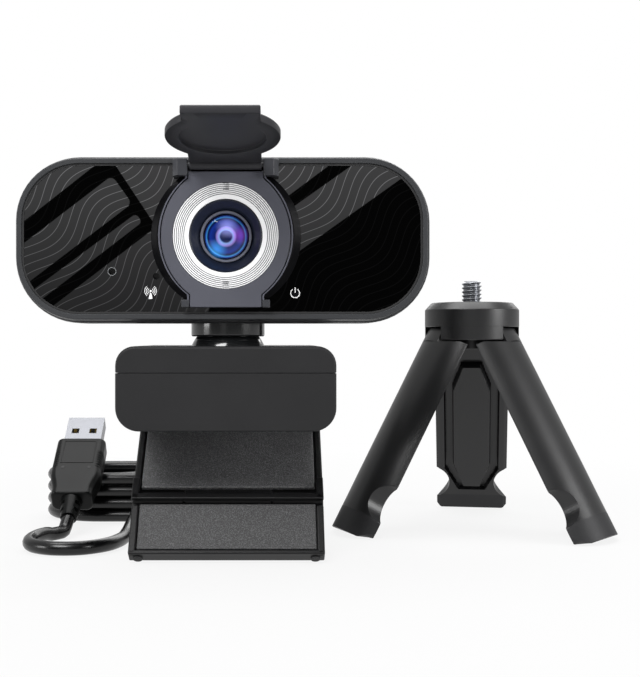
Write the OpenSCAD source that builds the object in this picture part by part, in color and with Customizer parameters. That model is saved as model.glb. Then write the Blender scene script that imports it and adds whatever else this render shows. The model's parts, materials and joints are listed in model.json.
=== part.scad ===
// Clip-on video camera with a privacy flap, its folded-foot monitor clip, coiled lead and mini tripod.
// Millimetres. +Z is up, -Y is the side that the lens looks to. The set stands on z = 0.

/* [Head] */
// Width of the camera head
head_w = 111.6; // [100:0.2:120]
// Middle of the head across from the lens
head_shift = -1; // [-1.4:0.1:0]
// Height of the camera head
head_h = 44.8; // [43:0.2:48]
// Corner radius of the head, seen from the front
head_corner = 17.5; // [14:0.5:19]
// Front of the head to the swivel axis
head_front = 15; // [14.5:0.1:16]
// Back of the head to the swivel axis
head_back = 15.5; // [15:0.5:20]
// Wall of the mouldings
wall = 2; // [1.6:0.1:2.4]
// How far the housing swells past the front bezel
swell = 0.9; // [0.6:0.1:1.4]
// Width of the bezel's visible rim
rim_w = 1.8; // [1.4:0.1:2.4]
// Depth of the front panel below the rim
panel_recess = 0.6; // [0.4:0.1:1]
// Thickness of the glossy front panel
panel_t = 1.6; // [1.2:0.1:2]
// Height of the lens axis above the middle of the head
lens_rise = 0.6; // [0:0.1:2]

/* [Lens] */
// Outer radius of the frame round the lens
frame_r = 20; // [19.5:0.1:20.5]
// How far the frame stands out from the panel
frame_t = 3; // [2.8:0.1:3.4]
// Outer radius of the grooved ring
ring_r = 14; // [13.5:0.1:14.5]
// Inner radius of the grooved ring
ring_bore_r = 9.75; // [9.5:0.05:10]
// Grooves in the ring
ring_grooves = 5; // [3:1:6]
// Radius of the lens barrel
barrel_r = 6.9; // [6.5:0.1:7.1]
// Radius of the front glass
glass_r = 6.2; // [5.8:0.1:6.3]

/* [Flap] */
// Radius of the flap's disc
flap_r = 14.35; // [14:0.05:15]
// Hinge axis to the end of the flap
flap_len = 34.6; // [34:0.1:38]
// Thickness of the flap
flap_t = 2.2; // [1.8:0.1:2.6]
// Width of the flap's hinge and of its tab
flap_w = 19; // [17:0.2:19]
// Angle that the flap stands open from its closed place
flap_open = 101.5; // [90:0.5:110]

/* [Neck] */
// Radius of the ball that the head tilts on
ball_r = 10.9; // [10.5:0.1:11.2]
// Height of the ball's centre below the top of the clip
ball_drop = 4; // [3.6:0.1:4.4]
// Radius of the neck collar
collar_r = 10.2; // [10:0.1:10.6]
// Top of the clip to the bottom of the collar
collar_gap = 2.6; // [2.4:0.1:3]

/* [Clip] */
// Thickness of the clip's cheeks
cheek_t = 2.5; // [2:0.1:3]
// Swivel axis to the front of the clip's lip
lip_front = 17; // [16:0.5:19]
// Thickness of the lip
lip_t = 4.5; // [4:0.1:5]
// Height of the clip's front, top to bottom
lip_h = 22.6; // [20:0.2:24]
// Height of the clip's top cover
cover_h = 7.1; // [6.8:0.1:8]
// Thickness of the clip's top plate
plate_t = 4.8; // [4.6:0.1:5.4]
// Swivel axis back to the leg's hinge
hinge_back = 38; // [36:0.5:42]

/* [Leg] */
// Width of the leg
leg_w = 53; // [50:0.5:53]
// Hinge to foot hinge
leg_len = 50; // [46:0.5:54]
// Foot hinge to the foot's end
foot_len = 17.5; // [16:0.5:20]
// Slope of the leg below the horizontal
leg_slope = 41; // [38:0.5:46]
// Slope of the foot below the horizontal
foot_slope = 53; // [50:0.5:58]
// Thickness of the leg's plates
leg_t = 3.2; // [2.8:0.1:3.6]
// Radius of the tripod thread's hole
thread_bore_r = 3.2; // [3.2:0.05:3.3]

/* [Tripod] */
// Radius of the tripod's hub
hub_r = 15; // [14.6:0.1:16]
// Height of the hub's top above the table
hub_top = 72; // [68:1:80]
// Height of the hub's disc
hub_h = 7.8; // [7:0.2:9]
// Radius of the three legs folded together
stack_r = 14.2; // [13.8:0.1:14.6]
// Slope of the tripod's legs from the vertical
splay = 28.9; // [26:0.5:32]
// Radius of the tripod's stud
stud_r = 3.175; // [3:0.005:3.18]
// Length of stud above the hub
stud_len = 7; // [5:0.5:9]
// Swivel axis across to the tripod's axis
tripod_x = 77; // [77:1:90]
// Swivel axis back to the tripod's axis
tripod_y = 50; // [48:1:60]
// Turn of the tripod on the table, seen from above
tripod_turn = -10; // [-12:1:0]

/* [Lead] */
// Diameter of the lead
cord_d = 4; // [3.8:0.1:4.2]
// Length of the coil's straight runs
coil_run = 40; // [36:1:44]
// Outer radius of the coil's round ends
coil_r = 20; // [20:0.5:21]
// Turns lying on each other in the coil
coil_high = 4; // [3:1:4]
// Length of the plug's grip
grip_len = 26; // [24:0.5:28]
// Width of the plug's grip
grip_w = 15.7; // [15:0.1:16.5]
// Thickness of the plug's grip
grip_t = 7.8; // [7.2:0.1:8.2]
// Length of the metal shell outside the grip
shell_len = 12; // [11.5:0.1:12.5]
// Lean of the plug above the table
plug_lean = 36; // [34:1:38]

/* [Hidden] */
$fn = 64;
soft_fn = 32;
fit = 0.05;
gap = 0.3;
thin = 0.01;
far = 200;

// Heights, from the table up
foot_pad_r = 1.3;
foot_pad_t = 0.5;
foot_drop = (foot_len + foot_pad_t) * sin(foot_slope) + foot_pad_r * cos(foot_slope);
hinge_z = foot_drop + leg_len * sin(leg_slope);
plate_z = hinge_z - 1.4;
plate_top = plate_z + plate_t;
clip_top = plate_top + cover_h;
ball_z = clip_top - ball_drop;
collar_z = clip_top + collar_gap;
collar_h = 3.6;
neck_rise = 3;
head_z0 = collar_z + collar_h;
head_z = head_z0 + head_h / 2;
lens_z = head_z + lens_rise;

// Depths of the head, from the front back
rim_y = -head_front;
panel_y = rim_y + panel_recess;
panel_back = panel_y + panel_t;
bezel_back = panel_back + 1.4;
frame_y = panel_y - frame_t;
face_y = frame_y + 0.2;
base_t = 1;
bezel_w = head_w - 2 * swell;
bezel_h = head_h - 2 * swell;
panel_gap = 0.3;
panel_w = bezel_w - 2 * rim_w - 2 * panel_gap;
panel_h = bezel_h - 2 * rim_w - 2 * panel_gap;
panel_corner = head_corner - swell - rim_w - panel_gap;
mic_spots = [[-30.4, -8.7], [-18.6, -10]];
mic_r = 0.9;
led_spot = [18.4, -14.5];
led_r = 1;

// Lens parts
plate_arc_r = 19.5;
plate_arc_shift = 2.3;
plate_top_w = 20;
plate_bottom_w = 19;
plate_top_z = 17;
plate_low_z = -18.9;
seam = 0.15;
cone_r = 10.2;
glass_apex = 1.2;
lip_y = panel_y - 0.2;
glass_y = lip_y + 1.2;
barrel_back = -5;
board_t = 1.2;
board_y = -3;
board_w = 64;
board_h = 28;
holder_w = 17;
sensor_w = 8;
post_spots = [[-45, -9], [45, -9], [-45, 9], [45, 9]];
post_r = 3;
post_back = 2;
screw_r = 1;
screw_head_r = 2;
board_spots = [[-24.5, 10], [24.5, 10], [-24.5, -10], [24.5, -10]];

// Flap
pin_r = 0.6;
knuckle_r = 1.3;
flap_y = face_y - 0.5;
hinge_rise = 18.6;
flap_z = lens_z + hinge_rise;
ear_w = 2.7;
ear_front = flap_y - 1.2;
flap_recess_r = 10.85;
flap_recess = 1;

// Neck
dome_wall = 1.9;
dome_gap = 0.3;
seat_r = ball_r + dome_gap;
neck_screw_r = 1.5;
tilt_max = 13;
slot_w = 2 * (neck_screw_r + 0.4);
slot_len = 2 * (ball_r * sin(tilt_max) + neck_screw_r + 0.5);
nut_top_r = ball_r - dome_wall - dome_gap;
nut_t = 1.5;
pivot_r = 3.5;
pivot_end = plate_top - 2.5;
washer_r = 6;
washer_t = 0.8;
pan_screw_r = 1.4;

// Clip: its cheeks stand either side of the leg, and its plate ends where the leg needs room to close
clip_w = leg_w + 2 * (cheek_t + gap);
leg_room = 14;
plate_end = hinge_back - leg_room;
clip_corner_top = 5.1;
clip_corner_low = 6.25;
lip_back = -lip_front + lip_t;
pad_t = 1.2;
pad_w = leg_w - 5;
pad_front = lip_back + 3.5;
pad_end = plate_end - 10;
screw_x = leg_w / 2 - 5.5;
cover_screw_spots = [for (x = [-screw_x, screw_x], y = [lip_back + 5.5, plate_end - 5]) [x, y]];
leg_pin_r = 1.5;
lug_r = 4.4;
cheek_z = plate_z - 2.6;
leg_knuckle_r = 3;

// Leg and foot: along -Y from the hinge, with +Z on the side of the monitor
foot_pin_r = 1.1;
foot_knuckle_r = 2.4;
foot_knuckle_w = 24;
leg_rim = 2;
leg_rim_h = 1.2;
leg_pad_t = 1;
bar_low = foot_knuckle_r + 1.05;
bar_t = 1.2;
bar_w = 1.8;
bar_out = 3;
bar_post = 2.75;
foot_y = hinge_back - leg_len * cos(leg_slope);
foot_z = hinge_z - leg_len * sin(leg_slope);
socket_at = 24;
socket_len = 6.5;
socket_wall = 1.2;
boss_wall = 1.8;

// Tripod
disc_z = hub_top - hub_h;
lobe_z = disc_z - 4.2;
slot_hub = 10;
leg_pivot_r = 9.5;
leg_pivot_z = disc_z - 2.4;
leg_knuckle = 2.2;
tripod_pin_r = 1;
leg_top_z = lobe_z - 0.4;
tripod_leg_len = leg_pivot_z / cos(splay) + 8;
leg_inner = 6.6;
leg_bottom = leg_pivot_z - leg_pivot_z / cos(splay);
scoop_r = 6.5;
scoop_out = 14.2;
scoop_up = 12.5;
shoe_up = 7.2;
stack_gap = 0.2;
azimuths = [for (a = [90, 210, 330]) a + tripod_turn];
boss_r = 6;
boss_low = lobe_z - 3;

// Lead
tie_t = 0.6;
coil_z = tie_t;
coil_left = -64;
coil_front = 52;
coil_y = coil_front + coil_r;
coil_h = coil_high * cord_d;
coil_band = 2 * cord_d;
gland_len = 11.5;
gland_z = head_z - 8.4;
drop_y = coil_front + 1.5 * cord_d;
drop_points = [
    [0, head_back + gland_len, gland_z], [0, 34, gland_z], [0, 42, 76.8], [0, 49.5, 72.6],
    [0, 54.6, 65.6], [0, 57, 57], [0, 57.8, 48], [0, 58, 39], [0, 58, 31],
    [-0.3, 58, 24], [-2.6, 58, 17], [-7, 58, 13], [-14, 58, 11]
];
lead_points = [
    [0, 54, 14.6], [-9, 53.6, 14.3], [-17, 51.6, 13], [-24, 47.4, 10.6],
    [-28.8, 40.6, 7.2], [-30.6, 32, 4], [-31, 23, 2.4], [-31.6, 14, 2], [-34.6, 5.6, 2],
    [-41, 0, 2], [-49, -0.4, 2], [-55.6, 4.4, 2], [-57.6, 12, 2.2], [-55, 19.6, 2.6]
];
relief_len = 7.2;
shell_w = 12;
shell_t = 4.5;
shell_wall = 0.3;
shell_in = 6;
grip_neck_w = 12.8;
grip_edge = 0.8;
tongue_t = 1.9;
plug_x = -50;
rest_y = coil_y - sqrt(coil_r * coil_r - pow(plug_x - coil_left - coil_r, 2));
rest_z = coil_z + coil_h;
rest_off = grip_t / 2 + 0.2;
plug_z = 5.4;
plug_mid_y = rest_y - rest_off * sin(plug_lean);
plug_mid_z = rest_z + rest_off * cos(plug_lean);
plug_y = plug_mid_y - (plug_mid_z - plug_z) / tan(plug_lean);

// The set's middle, so that the origin is under it
leg_reach = leg_pivot_r + leg_pivot_z * tan(splay);
reach_x = tripod_x + leg_reach * cos(azimuths[2]) + 6.8;
reach_back = tripod_y + leg_reach * sin(azimuths[0]) + 4.3;
reach_front = flap_y - flap_len * sin(flap_open);
set_x = (reach_x - head_w / 2 + head_shift) / 2;
set_y = (reach_back + reach_front) / 2;

// ---- Frames that the parts are drawn in ----

module set_place() {
    translate([-set_x, -set_y, 0]) children();
}

module lens_place() {
    set_place() translate([0, 0, lens_z]) children();
}

module head_place() {
    set_place() translate([0, 0, head_z]) children();
}

module leg_place() {
    set_place() translate([0, hinge_back, hinge_z]) rotate([leg_slope, 0, 0]) children();
}

module foot_place() {
    set_place() translate([0, foot_y, foot_z]) rotate([foot_slope, 0, 0]) children();
}

module flap_place() {
    set_place() translate([0, flap_y, flap_z]) rotate([-flap_open, 0, 0]) children();
}

module plug_place() {
    set_place() translate([plug_x, plug_y, plug_z]) rotate([plug_lean, 0, 0]) children();
}

module tripod_place() {
    set_place() translate([tripod_x, tripod_y, 0]) children();
}

// Turns a folded tripod leg out to its splay, about its own pin
module tripod_splay(turn) {
    translate([leg_pivot_r, 0, leg_pivot_z])
        rotate([0, -turn, 0])
            translate([-leg_pivot_r, 0, -leg_pivot_z]) children();
}

// ---- Shapes that repeat ----

module rounded_rect(w, h, r) {
    square([w - 2 * r, h], center = true);
    square([w, h - 2 * r], center = true);
    for (x = [-1, 1], z = [-1, 1]) translate([x * (w / 2 - r), z * (h / 2 - r)]) circle(r = r);
}

// A flat outline drawn in X and Z, from y0 back to y1
module slab_y(y0, y1) {
    translate([0, y1, 0]) rotate([90, 0, 0]) linear_extrude(y1 - y0) children();
}

// A round bar along Y, with radius r0 at y0 and r1 at y1
module rod_y(r0, y0, y1, r1 = -1) {
    translate([0, y1, 0]) rotate([90, 0, 0]) cylinder(h = y1 - y0, r1 = r1 < 0 ? r0 : r1, r2 = r0);
}

module rod_x(r, w) {
    rotate([0, 90, 0]) cylinder(h = w, r = r, center = true);
}

// A body of rotation about Y from points [radius, y]
module turn_y(points) {
    rotate([-90, 0, 0]) rotate_extrude() polygon(points);
}

module block(size, at) {
    translate(at) translate([-size[0] / 2, 0, 0]) cube(size);
}

module at_spots(spots) {
    for (p = spots) translate([p[0], 0, p[1]]) children();
}

// ---- Head ----

// The head's outline from y on, grown or cut back, and cut back more in height
module head_slice(y, grow, less_h = 0, depth = thin) {
    r = head_corner + grow - less_h / 4;
    slab_y(y, y + depth) translate([head_shift, 0])
        rounded_rect(head_w + 2 * grow, head_h + 2 * grow - less_h, r, $fn = soft_fn);
}

module bezel_body() {
    hull() {
        head_slice(rim_y, -swell - 0.7);
        head_slice(rim_y + 0.25, -swell - 0.2);
        head_slice(rim_y + 0.7, -swell);
        head_slice(bezel_back - thin, -swell / 2);
    }
}

module front_bezel() {
    head_place() color("#333436") {
        difference() {
            bezel_body();
            slab_y(rim_y - 1, panel_back) translate([head_shift, 0])
                rounded_rect(panel_w + 2 * panel_gap, panel_h + 2 * panel_gap, panel_corner + panel_gap);
            translate([0, 0, lens_rise]) rod_y(barrel_r + 0.6, panel_back - 1, bezel_back + 1);
            at_spots(mic_spots) rod_y(2.4, panel_back - 1, bezel_back + 1);
            at_spots([led_spot]) rod_y(led_r + 0.5, panel_back - 1, bezel_back + 1);
        }
        at_spots(post_spots) difference() {
            rod_y(post_r, bezel_back, post_back);
            rod_y(screw_r, post_back - 8, post_back + 1);
        }
        at_spots(board_spots) difference() {
            rod_y(2.4, bezel_back, board_y);
            rod_y(0.8, board_y - 5, board_y + 1);
        }
    }
}

module front_panel() {
    head_place() color("#0b0b0d") difference() {
        slab_y(panel_y, panel_back) translate([head_shift, 0]) rounded_rect(panel_w, panel_h, panel_corner);
        translate([0, 0, lens_rise]) rod_y(cone_r + 0.1, panel_y - 1, panel_back + 1);
        at_spots(mic_spots) rod_y(mic_r, panel_y - 1, panel_back + 1);
        at_spots([led_spot]) rod_y(led_r, panel_y - 1, panel_back + 1);
    }
}

// The housing's form; inset draws the hollow inside it
module housing_body(inset) {
    hull() {
        head_slice(bezel_back - inset / 2, -0.3 * swell - inset);
        head_slice(bezel_back + 1.6, -inset, 0, -bezel_back);
        head_slice(head_back - 7 - inset, -1.6 - inset);
        head_slice(head_back - 2.4 - inset, -4.6 - inset, 2);
        head_slice(head_back - 0.1 - inset, -9 - inset, 4, 0.1);
    }
}

module rear_housing() {
    head_place() color("#3a3b3d") difference() {
        union() {
            difference() {
                housing_body(0);
                housing_body(wall);
            }
            at_spots(post_spots) rod_y(screw_head_r + 1.4, post_back + gap, head_back - 3);
        }
        at_spots(post_spots) {
            rod_y(screw_r + 0.3, post_back - 1, head_back);
            rod_y(screw_head_r + 0.3, post_back + gap + 2, head_back + 5);
        }
        translate([0, 0, gland_z - head_z]) rod_y(3.6, head_back - 6, head_back + 5);
        translate([0, 0, -head_h / 2 - 2]) cylinder(h = 8, r = collar_r + fit);
    }
}

module housing_screws() {
    head_place() color("silver") at_spots(post_spots) {
        rod_y(screw_r, post_back - 6, post_back + gap + 2);
        rod_y(screw_head_r, post_back + gap + 2, post_back + gap + 3.4);
    }
}

// ---- Lens and its frame ----

// Outline of the face plate, from its side arcs to its squared top and bottom
module plate_outline(grow) {
    intersection() {
        translate([-plate_arc_shift, 0]) circle(r = plate_arc_r + grow, $fn = 128);
        translate([plate_arc_shift, 0]) circle(r = plate_arc_r + grow, $fn = 128);
        translate([-far / 2, plate_low_z + 1.9]) square([far, plate_top_z - 1.2 - plate_low_z - 1.9]);
    }
    translate([-plate_top_w / 2 - grow, 12]) square([plate_top_w + 2 * grow, plate_top_z - 12]);
    translate([-plate_bottom_w / 2 - grow, plate_low_z])
        square([plate_bottom_w + 2 * grow, 12]);
}

module frame_ear(side) {
    low = hinge_rise - 2.9;
    high = hinge_rise + 1.7;
    ear_in = flap_w / 2 + 0.5;
    translate([0, 0, low]) linear_extrude(high - low) polygon([
        [side * ear_in, ear_front], [side * (ear_in + ear_w), ear_front],
        [side * (ear_in + ear_w + 1.3), ear_front + 1.6],
        [side * (ear_in + ear_w + 1.3), rim_y], [side * ear_in, rim_y]
    ]);
}

module cover_frame() {
    lens_place() color("#2c2d2f") difference() {
        union() {
            intersection() {
                rod_y(frame_r - 1.9, frame_y, panel_y, frame_r);
                translate([-far / 2, -far / 2, plate_low_z]) cube([far, far, plate_top_z - plate_low_z]);
                difference() {
                    rod_y(far, frame_y - 1, panel_y);
                    slab_y(frame_y - 2, panel_y - base_t) plate_outline(seam);
                }
            }
            for (side = [-1, 1]) {
                frame_ear(side);
                translate([side * 10.7 - 1, frame_y, plate_low_z]) cube([2, frame_t - base_t + 0.5, 1.9]);
            }
        }
        rod_y(cone_r + 0.1, frame_y - 5, panel_y + 1);
        translate([0, flap_y, hinge_rise]) rod_x(pin_r, 2 * (flap_w / 2 + 2.4));
        translate([-far / 2, rim_y, head_z - lens_z + panel_h / 2]) cube([far, 10, 20]);
    }
}

module face_plate() {
    lens_place() color("#3f4043") difference() {
        slab_y(face_y, panel_y - base_t) plate_outline(0);
        rod_y(ring_r + 0.15, face_y - 1, panel_y);
    }
}

module lens_ring() {
    pitch = (ring_r - ring_bore_r - 1.2) / ring_grooves;
    groove_w = pitch * 0.36;
    lens_place() color("#e6e6e8") difference() {
        rod_y(ring_r, face_y + 0.1, panel_y - base_t);
        rod_y(ring_bore_r, face_y - 1, panel_y);
        for (i = [0:ring_grooves - 1]) {
            r = ring_bore_r + 1.2 + i * pitch;
            turn_y([[r, face_y - 1], [r + groove_w, face_y - 1], [r + groove_w, face_y + 0.35], [r, face_y + 0.35]]);
        }
        for (side = [0, 180]) rotate([0, side, 0])
            translate([-0.75, face_y - 1, ring_r - 1.8]) cube([1.5, 1.5, 3]);
    }
}

module lens_cone() {
    lens_place() color("#1c1d24") turn_y([
        [cone_r, panel_back], [cone_r, panel_y - base_t], [ring_bore_r - 0.05, panel_y - base_t],
        [ring_bore_r - 0.05, face_y + 0.4], [ring_bore_r - 0.3, face_y + 0.3],
        [barrel_r + fit, lip_y + 0.5], [barrel_r + fit, panel_back]
    ]);
}

module lens_barrel() {
    lens_place() color("#46474c") turn_y([
        [barrel_r, lip_y], [barrel_r, barrel_back], [3, barrel_back], [3, barrel_back - 1.4],
        [3.8, barrel_back - 1.4], [3.8, glass_y + 2.4], [5.4, glass_y + 1], [5.4, glass_y + 0.6],
        [glass_r, glass_y + 0.6], [glass_r, lip_y + 0.3], [glass_r + 0.3, lip_y]
    ]);
}

module front_lens() {
    cap_r = (glass_r * glass_r + glass_apex * glass_apex) / (2 * glass_apex);
    lens_place() color("#2b3c8c") {
        intersection() {
            rod_y(glass_r, glass_y - glass_apex - 0.3, glass_y);
            translate([0, glass_y - glass_apex + cap_r, 0]) rotate([90, 0, 0]) sphere(r = cap_r, $fn = 96);
        }
        rod_y(glass_r, glass_y - thin, glass_y + 0.6);
    }
}

module rear_lens() {
    lens_place() color("#5a62a8") rod_y(3.8, barrel_back - 3.4, barrel_back - 1.4);
}

module lens_holder() {
    lens_place() color("#1b1b1c") difference() {
        union() {
            rod_y(8.6, bezel_back + 0.4, board_y);
            translate([-holder_w / 2, board_y - 3.6, -holder_w / 2]) cube([holder_w, 3.6, holder_w]);
        }
        rod_y(barrel_r + fit, bezel_back - 1, barrel_back + 0.1);
        rod_y(5.8, barrel_back, board_y + 1);
    }
}

module ir_filter() {
    lens_place() color("#c46a78") translate([-3.6, board_y - 1.9, -3.6]) cube([7.2, 0.5, 7.2]);
}

module image_sensor() {
    lens_place() color("#3b4a3f") {
        translate([-sensor_w / 2, board_y - 0.9, -sensor_w / 2]) cube([sensor_w, 0.9, sensor_w]);
        for (x = [-3.6, 3]) translate([x, board_y - 1.4, -3.6]) cube([0.6, 0.6, 7.2]);
    }
}

module main_board() {
    head_place() color("#1f6b3a") difference() {
        translate([-board_w / 2, board_y, -board_h / 2]) cube([board_w, board_t, board_h]);
        at_spots(board_spots) rod_y(1, board_y - 1, board_y + 3);
    }
}

module board_parts() {
    back = board_y + board_t;
    head_place() color("#26272a") {
        translate([-16, back, -1]) cube([9, 1.1, 9]);
        translate([12, back, 2]) cube([6, 0.9, 5]);
        translate([-26, back, -4]) cube([4, 1, 2.4]);
        translate([-5, back, gland_z - head_z - 2]) cube([10, 3.4, 4]);
    }
}

module board_screws() {
    head_place() color("silver") at_spots(board_spots) {
        rod_y(0.8, board_y - 4, board_y + board_t);
        rod_y(1.7, board_y + board_t, board_y + board_t + 1);
    }
}

module microphones() {
    head_place() color("#8c8d90") at_spots(mic_spots) rod_y(2.2, panel_back, panel_back + 2.2);
}

module status_light() {
    head_place() color("#dfe8ef") at_spots([led_spot]) {
        rod_y(led_r, panel_y + 0.1, panel_back);
        rod_y(led_r + 0.4, panel_back, bezel_back + 1);
    }
}

module flap_pin() {
    set_place() translate([0, flap_y, flap_z]) color("silver") rod_x(pin_r, flap_w + 4.8);
}

module privacy_flap() {
    corner = 2;
    flap_place() color("#3c3d40") difference() {
        union() {
            rod_x(knuckle_r, flap_w);
            translate([0, 0, -hinge_rise]) rod_y(flap_r, -flap_t, 0);
            translate([-flap_w / 2, -flap_t, corner - flap_len]) cube([flap_w, flap_t, flap_len - corner]);
            translate([corner - flap_w / 2, -flap_t, -flap_len]) cube([flap_w - 2 * corner, flap_t, 4]);
            for (side = [-1, 1]) translate([side * (flap_w / 2 - corner), 0, corner - flap_len])
                rod_y(corner, -flap_t, 0);
        }
        translate([0, 0, -hinge_rise]) rod_y(flap_recess_r, -flap_recess, 1);
        rod_x(pin_r + fit, flap_w + 2);
    }
}

module cord_gland() {
    set_place() translate([0, 0, gland_z]) color("#141415") {
        rod_y(3.6 - fit, head_back - wall - 0.6, head_back + 1.2);
        difference() {
            rod_y(3.4, head_back + 1.2, head_back + gland_len, cord_d / 2 + 0.5);
            for (i = [0:2], side = [-1, 1])
                translate([side * 3 - 1.5, head_back + 3 + i * 2.6, -4]) cube([3, 1, 8]);
        }
    }
}

// ---- Neck ----

module neck_collar() {
    set_place() color("#1d1e20") difference() {
        union() {
            translate([0, 0, collar_z]) cylinder(h = collar_h + neck_rise, r = collar_r);
            intersection() {
                translate([0, 0, head_z0 + wall]) cylinder(h = neck_rise - wall, r = collar_r + 0.9);
                translate([-far / 2, 1 - far, head_z0]) cube([far, far, collar_h]);
            }
        }
        translate([0, 0, ball_z]) sphere(r = seat_r);
        translate([0, 0, collar_z - 1]) cylinder(h = 20, r = neck_screw_r + fit);
    }
}

module neck_screw() {
    top = collar_z + collar_h + neck_rise;
    set_place() color("silver") {
        translate([0, 0, ball_z + nut_top_r - nut_t - 3]) cylinder(h = top - ball_z - nut_top_r + nut_t + 3, r = neck_screw_r);
        translate([0, 0, top]) cylinder(h = 1.8, r = 2.8);
    }
}

module clamp_nut() {
    set_place() translate([0, 0, ball_z]) color("silver") difference() {
        intersection() {
            difference() {
                sphere(r = nut_top_r);
                sphere(r = nut_top_r - nut_t);
            }
            cylinder(h = far, r = 4.2);
        }
        cylinder(h = far, r = neck_screw_r);
    }
}

module swivel_dome() {
    base = plate_top + dome_gap;
    set_place() color("#161718") difference() {
        union() {
            difference() {
                translate([0, 0, ball_z]) sphere(r = ball_r);
                translate([0, 0, ball_z]) sphere(r = ball_r - dome_wall);
                translate([-far / 2, -far / 2, base - far]) cube([far, far, far]);
            }
            translate([0, 0, base]) cylinder(h = 2, r = ball_r - dome_wall + 0.2);
            translate([0, 0, pivot_end]) cylinder(h = base - pivot_end + 1, r = pivot_r);
        }
        translate([-slot_w / 2, -slot_len / 2, ball_z + 4]) cube([slot_w, slot_len, ball_r]);
        translate([0, 0, pivot_end - 1]) cylinder(h = 4, r = pan_screw_r);
    }
}

module pan_washer() {
    set_place() color("silver") translate([0, 0, pivot_end - washer_t]) difference() {
        cylinder(h = washer_t, r = washer_r);
        translate([0, 0, -1]) cylinder(h = washer_t + 2, r = pan_screw_r + fit);
    }
}

module pan_screw() {
    set_place() color("silver") translate([0, 0, pivot_end]) {
        translate([0, 0, -washer_t]) cylinder(h = 3 + washer_t, r = pan_screw_r);
        translate([0, 0, -washer_t - 0.9]) cylinder(h = 0.9, r = 2.6);
    }
}

// ---- Clip ----

// The clip's front outline, with its own radius at top and bottom
module clip_outline(inset) {
    w = clip_w - 2 * inset;
    top = clip_top - inset;
    low = clip_top - lip_h + inset;
    r_top = clip_corner_top - inset;
    r_low = clip_corner_low - inset;
    translate([-w / 2, low + r_low]) square([w, top - low - r_top - r_low]);
    translate([-w / 2 + r_top, top - 2 * r_top]) square([w - 2 * r_top, 2 * r_top]);
    translate([-w / 2 + r_low, low]) square([w - 2 * r_low, 2 * r_low]);
    for (side = [-1, 1]) {
        translate([side * (w / 2 - r_top), top - r_top]) circle(r = r_top);
        translate([side * (w / 2 - r_low), low + r_low]) circle(r = r_low);
    }
}

// The side profile of cover and frame together, in Y and Z
module clip_profile(inset) {
    front = -lip_front + inset;
    back = hinge_back + lug_r - inset;
    top = clip_top - inset;
    r = 3 - inset / 2;
    tail_r = 5.5;
    translate([front, 0]) square([back - front - 2 * tail_r, top - r]);
    translate([front + r, 0]) square([back - front - 2 * tail_r, top]);
    translate([front + r, top - r]) circle(r = r);
    translate([front + r, plate_z]) square([back - front - r, top - tail_r - plate_z]);
    translate([back - tail_r, top - tail_r]) circle(r = tail_r);
    translate([back - 3 * tail_r, top - tail_r]) square([2 * tail_r, tail_r]);
}

module clip_solid(inset) {
    intersection() {
        slab_y(-far, far) clip_outline(inset);
        rotate([90, 0, 90]) linear_extrude(far, center = true) clip_profile(inset);
    }
}

module clip_cover() {
    set_place() color("#3b3c3f") difference() {
        union() {
            difference() {
                clip_solid(0);
                clip_solid(wall);
            }
            intersection() {
                clip_solid(0.5);
                union() {
                    translate([0, 0, plate_top]) cylinder(h = cover_h, r = seat_r + 2.2);
                    for (p = cover_screw_spots) translate([p[0], p[1], plate_top]) cylinder(h = cover_h, r = 2.6);
                }
            }
        }
        translate([-far / 2, -far / 2, plate_top - far]) cube([far, far, far]);
        translate([0, 0, ball_z]) sphere(r = seat_r);
        for (p = cover_screw_spots) translate([p[0], p[1], plate_top - 1]) cylinder(h = 5.4, r = screw_r);
    }
}

module clip_frame() {
    set_place() color("#37383b") difference() {
        union() {
            intersection() {
                slab_y(-far, far) clip_outline(0);
                union() {
                    block([far, lip_t, lip_h], [0, -lip_front, clip_top - lip_h]);
                    block([far, plate_end + lip_front, plate_t], [0, -lip_front, plate_z]);
                }
                translate([-far / 2, -far / 2, plate_top - far]) cube([far, far, far]);
            }
            for (side = [-1, 1]) translate([side * (clip_w / 2 - cheek_t / 2), 0, 0]) {
                translate([0, hinge_back, hinge_z]) rod_x(lug_r, cheek_t);
                translate([-cheek_t / 2, hinge_back - 14, plate_z]) cube([cheek_t, 14, plate_t]);
                translate([-cheek_t / 2, lip_back, cheek_z]) cube([cheek_t, hinge_back - lip_back, plate_t]);
            }
        }
        translate([-far / 2, -far / 2, plate_top]) cube([far, far, far]);
        translate([0, 0, plate_z - 1]) cylinder(h = far, r = pivot_r + fit);
        translate([0, 0, plate_z - far]) cylinder(h = far + 2.6, r = washer_r + 0.4);
        for (p = cover_screw_spots) translate([p[0], p[1], plate_z - 1]) {
            cylinder(h = plate_t + 2, r = screw_r + 0.2);
            cylinder(h = 2.2, r = screw_head_r + 0.2);
        }
        translate([0, hinge_back, hinge_z]) rod_x(leg_pin_r, clip_w - 1);
    }
}

module lip_pad() {
    set_place() color("#202123") translate([0, lip_back, (clip_top - lip_h + plate_z) / 2])
        slab_y(0, pad_t) rounded_rect(pad_w, plate_z - clip_top + lip_h - 1, 2);
}

module top_pad() {
    set_place() color("#202123") translate([0, (pad_front + pad_end) / 2, plate_z - pad_t])
        linear_extrude(pad_t) rounded_rect(pad_w, pad_end - pad_front, 2);
}

module cover_screws() {
    set_place() color("silver") for (p = cover_screw_spots) translate([p[0], p[1], 0]) {
        translate([0, 0, plate_z + 0.2]) cylinder(h = 1, r = screw_head_r);
        translate([0, 0, plate_z + 1.2]) cylinder(h = plate_t - 1.2 + 4, r = screw_r);
    }
}

module leg_pin() {
    set_place() translate([0, hinge_back, hinge_z]) color("silver") rod_x(leg_pin_r, clip_w - 1);
}

// ---- Leg and foot ----

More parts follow.
